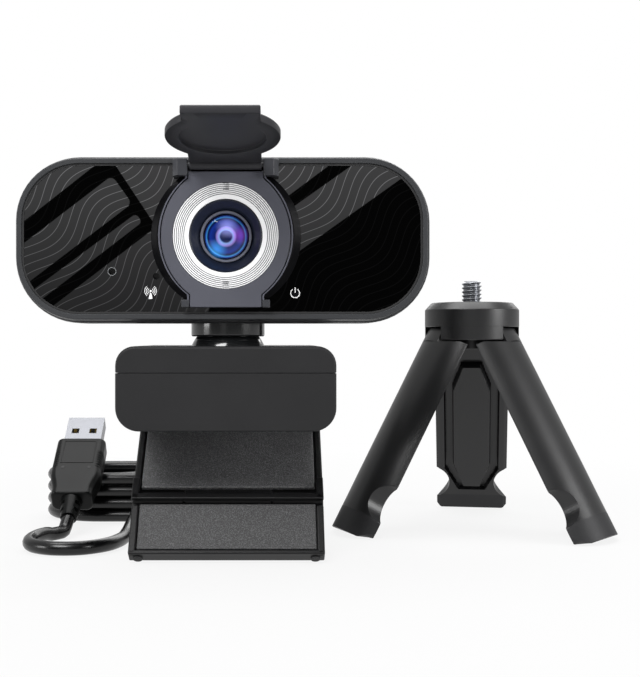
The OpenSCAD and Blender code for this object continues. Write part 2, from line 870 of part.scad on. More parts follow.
// A plate with raised side rims, from s0 to s1 along -Y
module rimmed_plate(w, s0, s1) {
    block([w, s1 - s0, leg_t], [0, -s1, -leg_t / 2]);
    for (side = [-1, 1])
        block([leg_rim, s1 - s0, leg_rim_h + 0.5], [side * (w - leg_rim) / 2, -s1, leg_t / 2 - 0.5]);
}

module upper_leg() {
    leg_place() color("#232426") difference() {
        union() {
            rimmed_plate(leg_w, 2, leg_len - foot_knuckle_r - gap);
            rod_x(leg_knuckle_r, leg_w);
            translate([0, -leg_len, 0]) {
                rod_x(foot_knuckle_r, foot_knuckle_w);
                block([foot_knuckle_w, 4, leg_t], [0, 0, -leg_t / 2]);
                block([leg_w, bar_w, bar_t], [0, -bar_out, bar_low]);
                for (side = [-1, 1]) {
                    block([leg_rim, 2, bar_low + bar_t], [side * (leg_w - leg_rim) / 2, bar_post, 0]);
                    block([leg_rim, bar_out + bar_post + 1, bar_t], [side * (leg_w - leg_rim) / 2, -bar_out, bar_low]);
                }
            }
            for (x = [-18, -9, 9, 18]) block([1.2, leg_len - 12, 1.2], [x, -leg_len + 6, -leg_t / 2 - 1.2]);
            translate([0, -socket_at, -leg_t / 2 - socket_len + 1.1])
                cylinder(h = socket_len - 1, r = thread_bore_r + socket_wall + boss_wall);
        }
        rod_x(leg_pin_r + fit, leg_w + 2);
        translate([0, -leg_len, 0]) rod_x(foot_pin_r, foot_knuckle_w + 2);
        translate([0, -socket_at, -leg_t / 2 - far + 1.1]) cylinder(h = far, r = thread_bore_r + socket_wall);
    }
}

module upper_pad() {
    leg_place() color("#55565a")
        block([leg_w - 2 * leg_rim - 0.4, leg_len - 6 - bar_post, leg_pad_t], [0, bar_post - leg_len, leg_t / 2]);
}

module tripod_socket() {
    leg_place() color("#c9a24a") translate([0, -socket_at, -leg_t / 2 - socket_len + 1.1]) difference() {
        cylinder(h = socket_len, r = thread_bore_r + socket_wall);
        translate([0, 0, -1]) cylinder(h = socket_len + 0.2, r = thread_bore_r);
    }
}

module foot_pin() {
    leg_place() color("silver") translate([0, -leg_len, 0]) rod_x(foot_pin_r, leg_w - 3);
}

module lower_leg() {
    foot_place() color("#232426") difference() {
        union() {
            rimmed_plate(leg_w, foot_knuckle_r + gap, foot_len);
            for (side = [-1, 1]) {
                x = (foot_knuckle_w / 2 + 0.4 + leg_w / 2) / 2 * side;
                translate([x, 0, 0]) {
                    rod_x(foot_knuckle_r, leg_w / 2 - foot_knuckle_w / 2 - 0.4);
                    block([leg_w / 2 - foot_knuckle_w / 2 - 0.4, 4, leg_t], [0, -4, -leg_t / 2]);
                }
            }
            block([leg_w, 1.2, leg_rim_h + 0.5], [0, -foot_len, leg_t / 2 - 0.5]);
        }
        rod_x(foot_pin_r + fit, leg_w - 3 + 2 * gap);
    }
}

module lower_pad() {
    foot_place() color("#55565a")
        block([leg_w - 2 * leg_rim - 0.4, foot_len - 3.7, leg_pad_t], [0, -foot_len + 1.4, leg_t / 2]);
}

module foot_pads() {
    foot_place() color("#151516") for (side = [-1, 1])
        translate([side * (leg_w / 2 - 2.5), 0, 0]) rod_y(foot_pad_r, -foot_len - foot_pad_t, -foot_len);
}

// ---- Lead ----

function unit(v) = v / norm(v);
function heading(p, i) = i == 0 ? unit(p[1] - p[0]) : i == len(p) - 1 ? unit(p[i] - p[i - 1]) : unit(p[i + 1] - p[i - 1]);
function side_of(t) = unit(cross(t, abs(t[2]) > 0.9 ? [1, 0, 0] : [0, 0, 1]));
// Each ring keeps its first side as near as it can to the ring before it
function sides(p, i = 0, last = undef) = i == len(p) ? [] : let (
    t = heading(p, i),
    s = i == 0 ? side_of(t) : unit(last - t * (last * t))
) concat([s], sides(p, i + 1, s));

module tube(points, r, n = 10) {
    across = sides(points);
    rings = [for (i = [0:len(points) - 1]) let (t = heading(points, i), u = across[i], v = cross(t, u))
        for (k = [0:n - 1]) points[i] + r * (u * cos(360 * k / n) + v * sin(360 * k / n))];
    last = len(points) - 1;
    walls = [for (i = [0:last - 1], k = [0:n - 1])
        [i * n + k, (i + 1) * n + k, (i + 1) * n + (k + 1) % n, i * n + (k + 1) % n]];
    caps = [[for (k = [0:n - 1]) k], [for (k = [n - 1:-1:0]) last * n + k]];
    polyhedron(points = rings, faces = concat(walls, caps));
}

module cord_drop() {
    set_place() color("#101011") tube(drop_points, cord_d / 2);
}

module coil_outline(grow) {
    r = coil_r + grow;
    square([coil_run, 2 * r], center = true);
    for (side = [-1, 1]) translate([side * coil_run / 2, 0]) circle(r = r);
}

module coil_place() {
    set_place() translate([coil_left + coil_r + coil_run / 2, coil_y, coil_z]) children();
}

module cord_coil() {
    coil_place() color("#101011") linear_extrude(coil_h) difference() {
        coil_outline(0);
        coil_outline(-coil_band);
    }
}

module cord_lead() {
    end = [plug_x, plug_y, plug_z];
    run_in = [0, cos(plug_lean), sin(plug_lean)];
    path = concat(lead_points, [end - [1.2, 6, 2], end]);
    set_place() color("#101011") tube(path, cord_d / 2);
}

module cord_tie() {
    coil_place() color("#2a2a2c") translate([0, coil_r - coil_band / 2, coil_h / 2]) difference() {
        cube([9, coil_band + 2 * tie_t, coil_h + 2 * tie_t], center = true);
        cube([10, coil_band, coil_h], center = true);
    }
}

module plug_shell() {
    start = relief_len + grip_len - shell_in;
    plug_place() color("#c8ccd0") difference() {
        translate([-shell_w / 2, start, -shell_t / 2]) cube([shell_w, shell_in + shell_len, shell_t]);
        translate([-shell_w / 2 + shell_wall, start - 1, -shell_t / 2 + shell_wall])
            cube([shell_w - 2 * shell_wall, shell_in + shell_len + 2, shell_t - 2 * shell_wall]);
        for (x = [-2.9, 2.9]) translate([x - 1.2, start + shell_in + 4, -shell_t]) cube([2.4, 2.4, 2 * shell_t]);
    }
}

module plug_tongue() {
    start = relief_len + grip_len - shell_in;
    low = -shell_t / 2 + shell_wall;
    plug_place() color("#e9e9e6") {
        translate([-shell_w / 2 + shell_wall, start, low])
            cube([shell_w - 2 * shell_wall, shell_in, shell_t - 2 * shell_wall]);
        translate([-shell_w / 2 + shell_wall, start + shell_in - 1, low])
            cube([shell_w - 2 * shell_wall, shell_len + 0.4, tongue_t]);
    }
}

module plug_contacts() {
    start = relief_len + grip_len;
    plug_place() color("#d8b45a") for (x = [-3.5, -1.2, 1.2, 3.5])
        translate([x - 0.5, start, -shell_t / 2 + shell_wall + tongue_t]) cube([1, 9, 0.15]);
}

module grip_slice(trim, thick) {
    near = grip_neck_w / 2 - trim;
    wide = grip_w / 2 - trim;
    taper = 0.4 * grip_len;
    last = grip_len - trim / 2;
    linear_extrude(thick, center = true) polygon([
        [-near, trim / 2], [near, trim / 2], [wide, taper], [wide, last - grip_edge], [wide - grip_edge, last],
        [grip_edge - wide, last], [-wide, last - grip_edge], [-wide, taper]
    ]);
}

module plug_grip() {
    rib_start = relief_len + 9;
    rib_step = 2.2;
    plug_place() color("#18191b") difference() {
        translate([0, relief_len, 0]) hull() {
            grip_slice(0, grip_t - 2.4);
            grip_slice(0.6, grip_t);
        }
        translate([-shell_w / 2, relief_len + grip_len - shell_in, -shell_t / 2])
            cube([shell_w, shell_in + 1, shell_t]);
        for (i = [0:4], side = [-1, 1])
            translate([side * grip_w / 2 - 0.5, rib_start + i * rib_step, -grip_t]) cube([1, 1, 2 * grip_t]);
    }
}

module plug_relief() {
    plug_place() color("#18191b") difference() {
        rod_y(cord_d / 2 + 0.5, 0, relief_len, 3.4);
        for (i = [0:1], side = [-1, 1])
            translate([side * 3 - 1.4, 1.6 + i * 2.6, -4]) cube([2.8, 1.2, 8]);
    }
}

// ---- Tripod ----

module tripod_hub() {
    tripod_place() color("#2e2f31") difference() {
        union() {
            rotate_extrude($fn = 96) polygon([
                [0, disc_z], [hub_r, disc_z], [hub_r, hub_top - 2.4], [hub_r - 2, hub_top - 0.2],
                [hub_r - 2.2, hub_top], [0, hub_top]
            ]);
            difference() {
                translate([0, 0, lobe_z]) cylinder(h = disc_z - lobe_z + 0.1, r = hub_r, $fn = 96);
                for (a = azimuths) rotate([0, 0, a])
                    translate([0, -slot_hub / 2, lobe_z - 1]) cube([hub_r + 2, slot_hub, disc_z - lobe_z + 1]);
            }
            translate([0, 0, boss_low]) cylinder(h = disc_z - boss_low, r = boss_r);
        }
        for (a = azimuths) rotate([0, 0, a])
            translate([leg_pivot_r, 0, leg_pivot_z]) rotate([90, 0, 0]) cylinder(h = 19, r = tripod_pin_r, center = true);
        translate([0, 0, disc_z + 1.3]) cylinder(h = hub_h, r = stud_r + 0.5);
        translate([0, 0, hub_top - 0.5]) difference() {
            cylinder(h = 1, r = hub_r - 3.2);
            translate([0, 0, -1]) cylinder(h = 3, r = hub_r - 3.8);
        }
    }
}

module tripod_stud() {
    tripod_place() color("silver") {
        translate([0, 0, disc_z + 1.3]) cylinder(h = hub_h - 1.3, r = stud_r + 0.5);
        translate([0, 0, hub_top]) cylinder(h = stud_len - 0.6, r = stud_r);
        translate([0, 0, hub_top + stud_len - 0.6]) cylinder(h = 0.6, r1 = stud_r, r2 = stud_r - 0.6);
    }
}

module tripod_pins() {
    tripod_place() color("silver") for (a = azimuths) rotate([0, 0, a])
        translate([leg_pivot_r, 0, leg_pivot_z]) rotate([90, 0, 0]) cylinder(h = 19, r = tripod_pin_r, center = true);
}

// A third of the round stack, out to its arc and in to a flat face
module leg_section() {
    reach = 2 * stack_r;
    trim = stack_gap / cos(60);
    intersection() {
        circle(r = stack_r, $fn = 96);
        polygon([
            [leg_inner, -leg_inner * tan(60) + trim], [reach, -reach * tan(60) + trim],
            [reach, reach * tan(60) - trim], [leg_inner, leg_inner * tan(60) - trim]
        ]);
    }
}

// Outline of a leg from inside: straight sides, a finger scoop each side and a round toe
module leg_outline() {
    difference() {
        intersection() {
            translate([-stack_r, leg_bottom - 2]) square([2 * stack_r, leg_pivot_z - leg_bottom + 2]);
            union() {
                translate([0, leg_bottom + 12]) circle(r = 15, $fn = 96);
                translate([-stack_r, leg_bottom + 12]) square([2 * stack_r, far]);
            }
        }
        for (side = [-1, 1]) translate([side * scoop_out, leg_bottom + scoop_up]) circle(r = scoop_r);
    }
}

// Six-sided outline of the leg's inner panel, w wide at its middle
module panel_outline(w, trim) {
    low = leg_bottom + scoop_up - 3 + trim;
    high = leg_pivot_z - 8 - trim;
    polygon([
        [-w / 2, low + 9], [-w / 4, low], [w / 4, low], [w / 2, low + 9],
        [w / 2, high - 9], [w / 4, high], [-w / 4, high], [-w / 2, high - 9]
    ]);
}

module leg_facing(x0, x1) {
    translate([x0, 0, 0]) rotate([90, 0, 90]) linear_extrude(x1 - x0) children();
}

module leg_blank() {
    difference() {
        intersection() {
            translate([0, 0, leg_bottom - 4]) linear_extrude(leg_top_z - leg_bottom + 4) leg_section();
            leg_facing(0, hub_r) leg_outline();
        }
        tripod_splay(-splay) {
            translate([-far / 2, -far / 2, leg_top_z]) cube([far, far, far]);
            translate([-far / 2, -far / 2, -far]) cube([far, far, far]);
        }
    }
}

// The leg's outer wall carried up through the hub's slot to just under its disc
module leg_shoulder() {
    difference() {
        intersection() {
            translate([0, 0, leg_top_z - 2]) linear_extrude(disc_z - gap - leg_top_z + 2) leg_section();
            translate([leg_pivot_r, gap - slot_hub / 2, 0]) cube([far, slot_hub - 2 * gap, far]);
        }
        tripod_splay(-splay) translate([-far / 2, -far / 2, disc_z - gap]) cube([far, far, far]);
    }
}

module shoe_zone() {
    translate([-far / 2, -far / 2, leg_bottom + shoe_up - far]) cube([far, far, far]);
}

module tripod_leg(a) {
    tripod_place() rotate([0, 0, a]) tripod_splay(splay) color("#2e2f31") difference() {
        union() {
            difference() {
                leg_blank();
                leg_facing(leg_inner - 1, leg_inner + 2) panel_outline(18.4, 0);
                shoe_zone();
            }
            leg_facing(leg_inner - 1.2, leg_inner + 2.2) panel_outline(12.8, 2);
            translate([leg_pivot_r, 0, leg_pivot_z]) {
                rotate([90, 0, 0]) cylinder(h = slot_hub - 2 * gap, r = leg_knuckle, center = true);
                translate([-leg_knuckle, -slot_hub / 2 + gap, -6]) cube([2 * leg_knuckle, slot_hub - 2 * gap, 6]);
            }
            leg_shoulder();
        }
        translate([leg_pivot_r, 0, leg_pivot_z]) rotate([90, 0, 0])
            cylinder(h = slot_hub, r = tripod_pin_r + fit, center = true);
    }
}

module tripod_foot(a) {
    tripod_place() rotate([0, 0, a]) tripod_splay(splay) color("#1a1a1b") intersection() {
        leg_blank();
        shoe_zone();
    }
}

module tripod_leg_1() { tripod_leg(azimuths[0]); }
module tripod_leg_2() { tripod_leg(azimuths[1]); }
module tripod_leg_3() { tripod_leg(azimuths[2]); }
module tripod_foot_1() { tripod_foot(azimuths[0]); }
module tripod_foot_2() { tripod_foot(azimuths[1]); }
module tripod_foot_3() { tripod_foot(azimuths[2]); }

front_bezel();
front_panel();
rear_housing();
housing_screws();
cover_frame();
face_plate();
lens_ring();
lens_cone();
lens_barrel();
front_lens();
rear_lens();
lens_holder();
ir_filter();
image_sensor();
main_board();
board_parts();
board_screws();
microphones();
status_light();
cord_gland();
neck_collar();
neck_screw();
clamp_nut();
flap_pin();
privacy_flap();
swivel_dome();
pan_washer();
pan_screw();
clip_cover();
clip_frame();
lip_pad();
top_pad();
cover_screws();
leg_pin();
upper_leg();
upper_pad();
tripod_socket();
foot_pin();
lower_leg();
lower_pad();
foot_pads();
cord_drop();
cord_coil();
cord_lead();
cord_tie();
plug_shell();
plug_tongue();
plug_contacts();
plug_grip();
plug_relief();
tripod_hub();
tripod_stud();
tripod_pins();
tripod_leg_1();
tripod_leg_2();
tripod_leg_3();
tripod_foot_1();
tripod_foot_2();
tripod_foot_3();
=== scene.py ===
import bpy
import bmesh
import json
import math
import numpy as np
from mathutils import Matrix, Vector


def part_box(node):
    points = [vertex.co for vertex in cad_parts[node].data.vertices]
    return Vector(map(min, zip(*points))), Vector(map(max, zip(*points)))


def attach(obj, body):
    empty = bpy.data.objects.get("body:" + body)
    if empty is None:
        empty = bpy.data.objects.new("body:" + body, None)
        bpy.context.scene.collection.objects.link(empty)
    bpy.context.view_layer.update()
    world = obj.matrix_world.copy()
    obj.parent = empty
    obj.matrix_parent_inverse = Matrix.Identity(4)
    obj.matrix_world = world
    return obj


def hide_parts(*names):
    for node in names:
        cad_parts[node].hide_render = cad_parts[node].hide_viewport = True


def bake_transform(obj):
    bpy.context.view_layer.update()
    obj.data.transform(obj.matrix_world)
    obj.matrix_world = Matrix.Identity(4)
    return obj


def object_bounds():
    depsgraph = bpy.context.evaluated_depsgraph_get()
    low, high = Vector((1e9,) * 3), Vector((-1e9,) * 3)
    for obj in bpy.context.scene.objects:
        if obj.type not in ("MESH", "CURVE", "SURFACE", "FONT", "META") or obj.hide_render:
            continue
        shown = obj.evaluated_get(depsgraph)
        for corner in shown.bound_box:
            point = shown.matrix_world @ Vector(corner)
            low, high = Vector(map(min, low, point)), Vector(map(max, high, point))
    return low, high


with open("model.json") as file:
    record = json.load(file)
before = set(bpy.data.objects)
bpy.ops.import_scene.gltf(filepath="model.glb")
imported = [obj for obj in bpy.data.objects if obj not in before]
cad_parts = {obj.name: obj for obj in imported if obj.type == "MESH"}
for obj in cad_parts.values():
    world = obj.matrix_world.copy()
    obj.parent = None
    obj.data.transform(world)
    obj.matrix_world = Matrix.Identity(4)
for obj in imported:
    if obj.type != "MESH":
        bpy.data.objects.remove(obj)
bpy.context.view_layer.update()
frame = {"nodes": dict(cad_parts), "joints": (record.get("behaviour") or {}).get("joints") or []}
nodes = frame["nodes"]
joints = {j["name"]: j for j in frame["joints"]}
AXIS = np.array([*joints["head_pan"]["pos_m"][:2], 0.0])
TAU = 2 * math.pi

# ---- Places that the pieces hang on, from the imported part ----


def spot(position):
    """A point of the row frame, in metres, as millimetres from where the swivel axis meets the table."""
    return (np.array(position) - AXIS) * 1000


def row_frame(spots):
    """Millimetres from the swivel axis as metres in the row frame."""
    return np.asarray(spots, float) / 1000 + AXIS


def span(node):
    """The lowest and highest corner of a CAD node, as spots."""
    low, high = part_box(node)
    return spot(low), spot(high)


ball, flap_axis, leg_axis, foot_axis = (
    spot(joints[name]["pos_m"]) for name in ("head_tilt", "flap_hinge", "leg_hinge", "foot_hinge")
)
shell_low, shell_high = span("rear_housing")
ring_low, ring_high = span("lens_ring")
light_low, light_high = span("status_light")
cover_low, cover_high = span("clip_cover")
hub_low, hub_high = span("tripod_hub")
collar_base, collar_top = (c[2] for c in span("neck_collar"))
bezel_front, panel_front = (span(name)[0][1] for name in ("front_bezel", "front_panel"))
lip_low = span("clip_frame")[0][2]
head_mid, head_side = (shell_low[2] + shell_high[2]) / 2, (shell_low[0] + shell_high[0]) / 2
lens_mid = (ring_low[2] + ring_high[2]) / 2
hub_mid = (hub_low + hub_high) / 2

LEG_SLOPE, FOOT_SLOPE, FLAP_OPEN, SPLAY, PLUG_LEAN = map(math.radians, (41, 53, 101.5, 28.9, 36))
TRIPOD_TURNS = (80, 200, 320)
SET = Matrix.Identity(4)
HEAD = Matrix.Translation((head_side, 0, head_mid))
LENS = Matrix.Translation((0, 0, lens_mid))
HUB = Matrix.Translation((hub_mid[0], hub_mid[1], 0))
LEG = Matrix.Translation(leg_axis) @ Matrix.Rotation(LEG_SLOPE, 4, "X")
FOOT = Matrix.Translation(foot_axis) @ Matrix.Rotation(FOOT_SLOPE, 4, "X")
FLAP = Matrix.Translation(flap_axis) @ Matrix.Rotation(-FLAP_OPEN, 4, "X")

# ---- Camera ----

CAMERA_AT = np.array([11.5, -315.0, 60.5])


def make_camera():
    """Looks level along +Y from 300 mm in front of the panel, a little right of the head's middle."""
    data = bpy.data.cameras.new("camera")
    data.lens = 60.0
    data.sensor_width = 36.0
    data.shift_x = 0.075
    data.shift_y = 0.0
    data.clip_start = 0.01
    camera = bpy.data.objects.new("camera", data)
    bpy.context.scene.collection.objects.link(camera)
    camera.location = row_frame(CAMERA_AT)
    camera.rotation_euler = (math.pi / 2, 0, 0)
    bpy.context.scene.camera = camera
    bpy.context.scene.view_settings.view_transform = "Standard"


make_camera()

# ---- Surfaces worked out on grids ----

WELD, SLIVER = 2e-6, 1e-7


class Form:
    """Gathers grids of points, in millimetres, and makes one closed mesh of them."""

    def __init__(self):
        self.points, self.faces, self.count = [], [], 0

    def grid(self, p, along=False):
        """Quads between neighbours of p[i, j], every row closed on itself; along also joins the last row to
        the first."""
        p = np.asarray(p, float)
        ids = self.count + np.arange(p.shape[0] * p.shape[1]).reshape(p.shape[:2])
        self.points.append(p.reshape(-1, 3))
        self.count += ids.size
        ids = np.hstack([ids, ids[:, :1]])
        if along:
            ids = np.vstack([ids, ids[:1]])
        quads = np.stack([ids[:-1, :-1], ids[1:, :-1], ids[1:, 1:], ids[:-1, 1:]], -1)
        self.faces += quads.reshape(-1, 4).tolist()
        return self

    def cap(self, ring):
        """One flat face over a closed ring of points."""
        self.faces.append(list(range(self.count, self.count + len(ring))))
        self.points.append(np.asarray(ring, float))
        self.count += len(ring)
        return self

    def stack(self, rings):
        """A closed body: walls through the rings and a flat face over each end."""
        return self.grid(rings).cap(rings[0]).cap(rings[-1])

    def make(self, name, body, finish, place=SET, stands_for=(), slot=None, sharp=32, even=True):
        """One smooth mesh object in the row frame, riding on its body."""
        turn, shift = np.array(place.to_3x3()), np.array(place.translation)
        mesh = bpy.data.meshes.new(name)
        mesh.from_pydata(row_frame(np.vstack(self.points) @ turn.T + shift).tolist(), [], self.faces)
        work = bmesh.new()
        work.from_mesh(mesh)
        bmesh.ops.remove_doubles(work, verts=work.verts, dist=WELD)
        bmesh.ops.dissolve_degenerate(work, edges=work.edges, dist=SLIVER)
        bmesh.ops.recalc_face_normals(work, faces=work.faces)
        work.to_mesh(mesh)
        work.free()
        mesh.shade_smooth()
        mesh.set_sharp_from_angle(angle=math.radians(sharp))
        piece = bpy.data.objects.new(name, mesh)
        bpy.context.scene.collection.objects.link(piece)
        mesh.materials.append(finish)
        if stands_for:
            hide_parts(*stands_for)
            slot = slot or stands_for[0]
        if body:
            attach(piece, body)
            if even:
                keep_flat(piece)
        return piece


def keep_flat(piece):
    """Leans the shading of rounded edges on the large faces beside them, so that flat faces stay flat."""
    lean = piece.modifiers.new("flat_faces", "WEIGHTED_NORMAL")
    lean.mode, lean.weight, lean.keep_sharp = "FACE_AREA", 50, True


def carve(piece, tool):
    """Cuts a tool out of a piece for good."""
    cut = piece.modifiers.new("cut", "BOOLEAN")
    cut.operation, cut.solver, cut.object = "DIFFERENCE", "EXACT", tool
    bpy.context.view_layer.update()
    done = bpy.data.meshes.new_from_object(piece.evaluated_get(bpy.context.evaluated_depsgraph_get()))
    piece.modifiers.clear()
    old = piece.data
    piece.data = done
    bpy.data.meshes.remove(old)
    bpy.data.objects.remove(tool)
    keep_flat(piece)


def facing(outline, depth, way="front"):
    """A flat outline set into space: front is X, Z with its depth along Y, top is X, Y with it along Z, and
    side is Y, Z with it along X."""
    a, b = np.asarray(outline, float).T
    d = np.full(len(a), float(depth))
    order = {"front": (a, d, b), "top": (a, b, d), "side": (d, a, b)}[way]
    return np.stack(order, -1)


def unit(v):
    """Each row of v at length one."""
    return v / np.linalg.norm(v, axis=1, keepdims=True)


def left_of(v):
    """Each row of v after a quarter turn to the left."""
    return np.stack([-v[:, 1], v[:, 0]], -1)


def rounded_poly(corners, steps):
    """A closed outline with an arc of its own radius at each corner (a, b, radius), tangent to both sides."""
    c = np.array([k[:2] for k in corners], float)
    radius = np.array([k[2] for k in corners], float)[:, None, None]
    into, out = unit(c - np.roll(c, 1, 0)), unit(np.roll(c, -1, 0) - c)
    turn = np.arctan2(into[:, 0] * out[:, 1] - into[:, 1] * out[:, 0], (into * out).sum(1))
    side = left_of(into) * np.sign(turn)[:, None]
    start = c - into * (np.tan(np.abs(turn) / 2))[:, None] * radius[:, 0]
    middle = start + side * radius[:, 0]
    t = np.linspace(0, 1, steps)[None, :, None] * np.abs(turn)[:, None, None]
    arc = middle[:, None] + radius * (np.sin(t) * into[:, None] - np.cos(t) * side[:, None])
    return arc.reshape(-1, 2)


def rect(low, high, r_low, r_high, steps):
    """A rectangle between two corners (a, b), with one radius for its lower corners and one for the upper."""
    (a0, b0), (a1, b1) = low, high
    return rounded_poly([(a0, b0, r_low), (a1, b0, r_low), (a1, b1, r_high), (a0, b1, r_high)], steps)


def round_rect(w, h, r, steps=12):
    """A rectangle w by h about the origin, with corners of radius r."""
    return rect((-w / 2, -h / 2), (w / 2, h / 2), r, r, steps)


def shrink(outline, by):
    """Moves each point of a left-turning outline inwards by the same distance from both its sides."""
    p = np.asarray(outline, float)
    back, on = p - np.roll(p, 1, 0), np.roll(p, -1, 0) - p
    back = np.where(np.linalg.norm(back, axis=1, keepdims=True) < 1e-9, on, back)
    on = np.where(np.linalg.norm(on, axis=1, keepdims=True) < 1e-9, back, on)
    m = left_of(unit(back)) + left_of(unit(on))
    return p + by * 2 * m / np.maximum((m * m).sum(1, keepdims=True), 0.5)


def eased(d0, d1, r0, r1=None, steps=5):
    """Pairs (depth, inset) of a wall from d0 to d1 with quarter rounds of radius r0 and r1 at its ends."""
    r1 = r0 if r1 is None else r1
    a = np.linspace(0, math.pi / 2, steps)
    s = 1 if d1 > d0 else -1
    first = np.stack([d0 + s * r0 * (1 - np.cos(a)), r0 * (1 - np.sin(a))], -1)
    last = np.stack([d1 - s * r1 * (1 - np.sin(a)), r1 * (1 - np.cos(a))], -1)
    return np.vstack([first, last])


def slab(form, outline, d0, d1, r0, r1=None, way="front"):
    """Adds a plate with the outline, from depth d0 to d1, with eased edges."""
    return form.stack([facing(shrink(outline, i), d, way) for d, i in eased(d0, d1, r0, r1)])


def block(form, low, high, r, way="top"):
    """Adds a box from corner to corner with eased edges."""
    a, b, d = {"front": (0, 2, 1), "top": (0, 1, 2), "side": (1, 2, 0)}[way]
    outline = rect((low[a], low[b]), (high[a], high[b]), r, r, 4)
    return slab(form, outline, low[d], high[d], r, way=way)


def turned(form, profile, count, axis="y", middle=(0, 0), closed=False):
    """Adds a body of rotation of points (radius, depth); closed joins the last point to the first."""
    r, d = np.asarray(profile, float).T
    t = np.linspace(0, TAU, count, endpoint=False)
    u, v, w = r[:, None] * np.cos(t), r[:, None] * np.sin(t), d[:, None] + 0 * t
    ring = {
        "y": (u + middle[0], w, v + middle[1]),
        "z": (u + middle[0], v + middle[1], w),
        "x": (w, u + middle[0], v + middle[1]),
    }[axis]
    return form.grid(np.stack(ring, -1), along=closed)


def rod(form, r, d0, d1, ease, axis, middle=(0, 0), count=48):
    """Adds a round bar with eased ends."""
    wall = eased(d0, d1, ease)
    profile = [(0, d0)] + [(r - i, d) for d, i in wall] + [(0, d1)]
    return turned(form, profile, count, axis, middle)


def swept(form, loop, z, side):
    """Adds a body whose section, a loop of points (x, y), changes with the height z; side -1 mirrors it."""
    return form.stack(np.stack([np.stack([side * x + 0 * z, y + 0 * z, z], -1) for x, y in loop], 1))


# ---- Finishes ----

COAT_ROUGH, PATCH, WEAR = 0.04, 14.0, 0.12
# painted highlight on the grain tops: where it starts and ends on the grain's height, and how much it lifts
# the colour
GRAIN_HIGHLIGHT_LOW, GRAIN_HIGHLIGHT_HIGH, GRAIN_HIGHLIGHT_LIFT, BUMP = 0.47, 0.63, 0.02, 0.6


def put(tree, socket, value):
    """Gives a socket its value, which is a number, a colour or the output of another node."""
    if isinstance(value, bpy.types.NodeSocket):
        tree.links.new(value, socket)
    else:
        socket.default_value = value


def rgba(colour):
    """A colour kept between black and white, with full cover."""
    return (*np.clip(np.array(colour, float), 0, 1), 1)


def ink(hex_colour):
    """A screen colour as the linear numbers that a shader takes."""
    c = np.array([int(hex_colour[i : i + 2], 16) / 255 for i in (1, 3, 5)])
    return np.where(c < 0.04045, c / 12.92, ((c + 0.055) / 1.055) ** 2.4)


def calc(tree, operation, *values):
    """A math node of the tree: its values are numbers or sockets, and what comes back is its output."""
    node = tree.nodes.new("ShaderNodeMath")
    node.operation = operation
    for socket, value in zip(node.inputs, values):
        put(tree, socket, value)
    return node.outputs["Value"]


def vector(tree, operation, *values):
    """A vector math node of the tree; a length or a distance comes back as a number."""
    node = tree.nodes.new("ShaderNodeVectorMath")
    node.operation = operation
    for socket, value in zip(node.inputs, values):
        put(tree, socket, value)
    return node.outputs["Value" if operation in ("LENGTH", "DISTANCE") else "Vector"]


def ranged(tree, value, low, high, out_low, out_high, curve="LINEAR"):
    """A value taken from out_low to out_high while it goes from low to high."""
    node = tree.nodes.new("ShaderNodeMapRange")
    node.interpolation_type = curve
    settings = {"Value": value, "From Min": low, "From Max": high, "To Min": out_low, "To Max": out_high}
    for key, setting in settings.items():
        put(tree, node.inputs[key], setting)
    return node.outputs["Result"]


def ramped(tree, value, low, high, out_low=0.0, out_high=1.0):
    """A value eased from out_low to out_high while it goes from low to high."""
    return ranged(tree, value, low, high, out_low, out_high, "SMOOTHSTEP")


def mixed(tree, factor, a, b, blend="MIX"):
    """The colour a where factor is 0 and b where it is 1; ADD adds b instead, by the factor."""
    node = tree.nodes.new("ShaderNodeMix")
    node.data_type, node.blend_type = "RGBA", blend
    for key, value in (("Factor", factor), ("A", a), ("B", b)):
        put(tree, node.inputs[key], value)
    return node.outputs["Result"]


def own_point(tree, kind="Object"):
    """Where the surface is, in the object's own coordinates or in those named by kind."""
    return tree.nodes.new("ShaderNodeTexCoord").outputs[kind]


def axes_of(tree, point):
    """The X, Y and Z of a point, as outputs by name."""
    node = tree.nodes.new("ShaderNodeSeparateXYZ")
    tree.links.new(point, node.inputs["Vector"])
    return node.outputs


def noise(tree, size, detail):
    """Noise with patches of about size millimetres."""
    node = tree.nodes.new("ShaderNodeTexNoise")
    node.inputs["Scale"].default_value = 1000 / size
    node.inputs["Detail"].default_value = detail
    tree.links.new(own_point(tree), node.inputs["Vector"])
    return node.outputs["Fac"]


def axis_distance(tree, middle):
    """How far the surface lies from the axis along Y through middle, in metres."""
    apart = vector(tree, "SUBTRACT", own_point(tree), row_frame(middle))
    return vector(tree, "LENGTH", vector(tree, "MULTIPLY", apart, (1, 0, 1)))


def base_colour(material):
    """The material's tree and the socket that takes its colour."""
    tree = material.node_tree
    return tree, tree.nodes["Principled BSDF"].inputs["Base Color"]


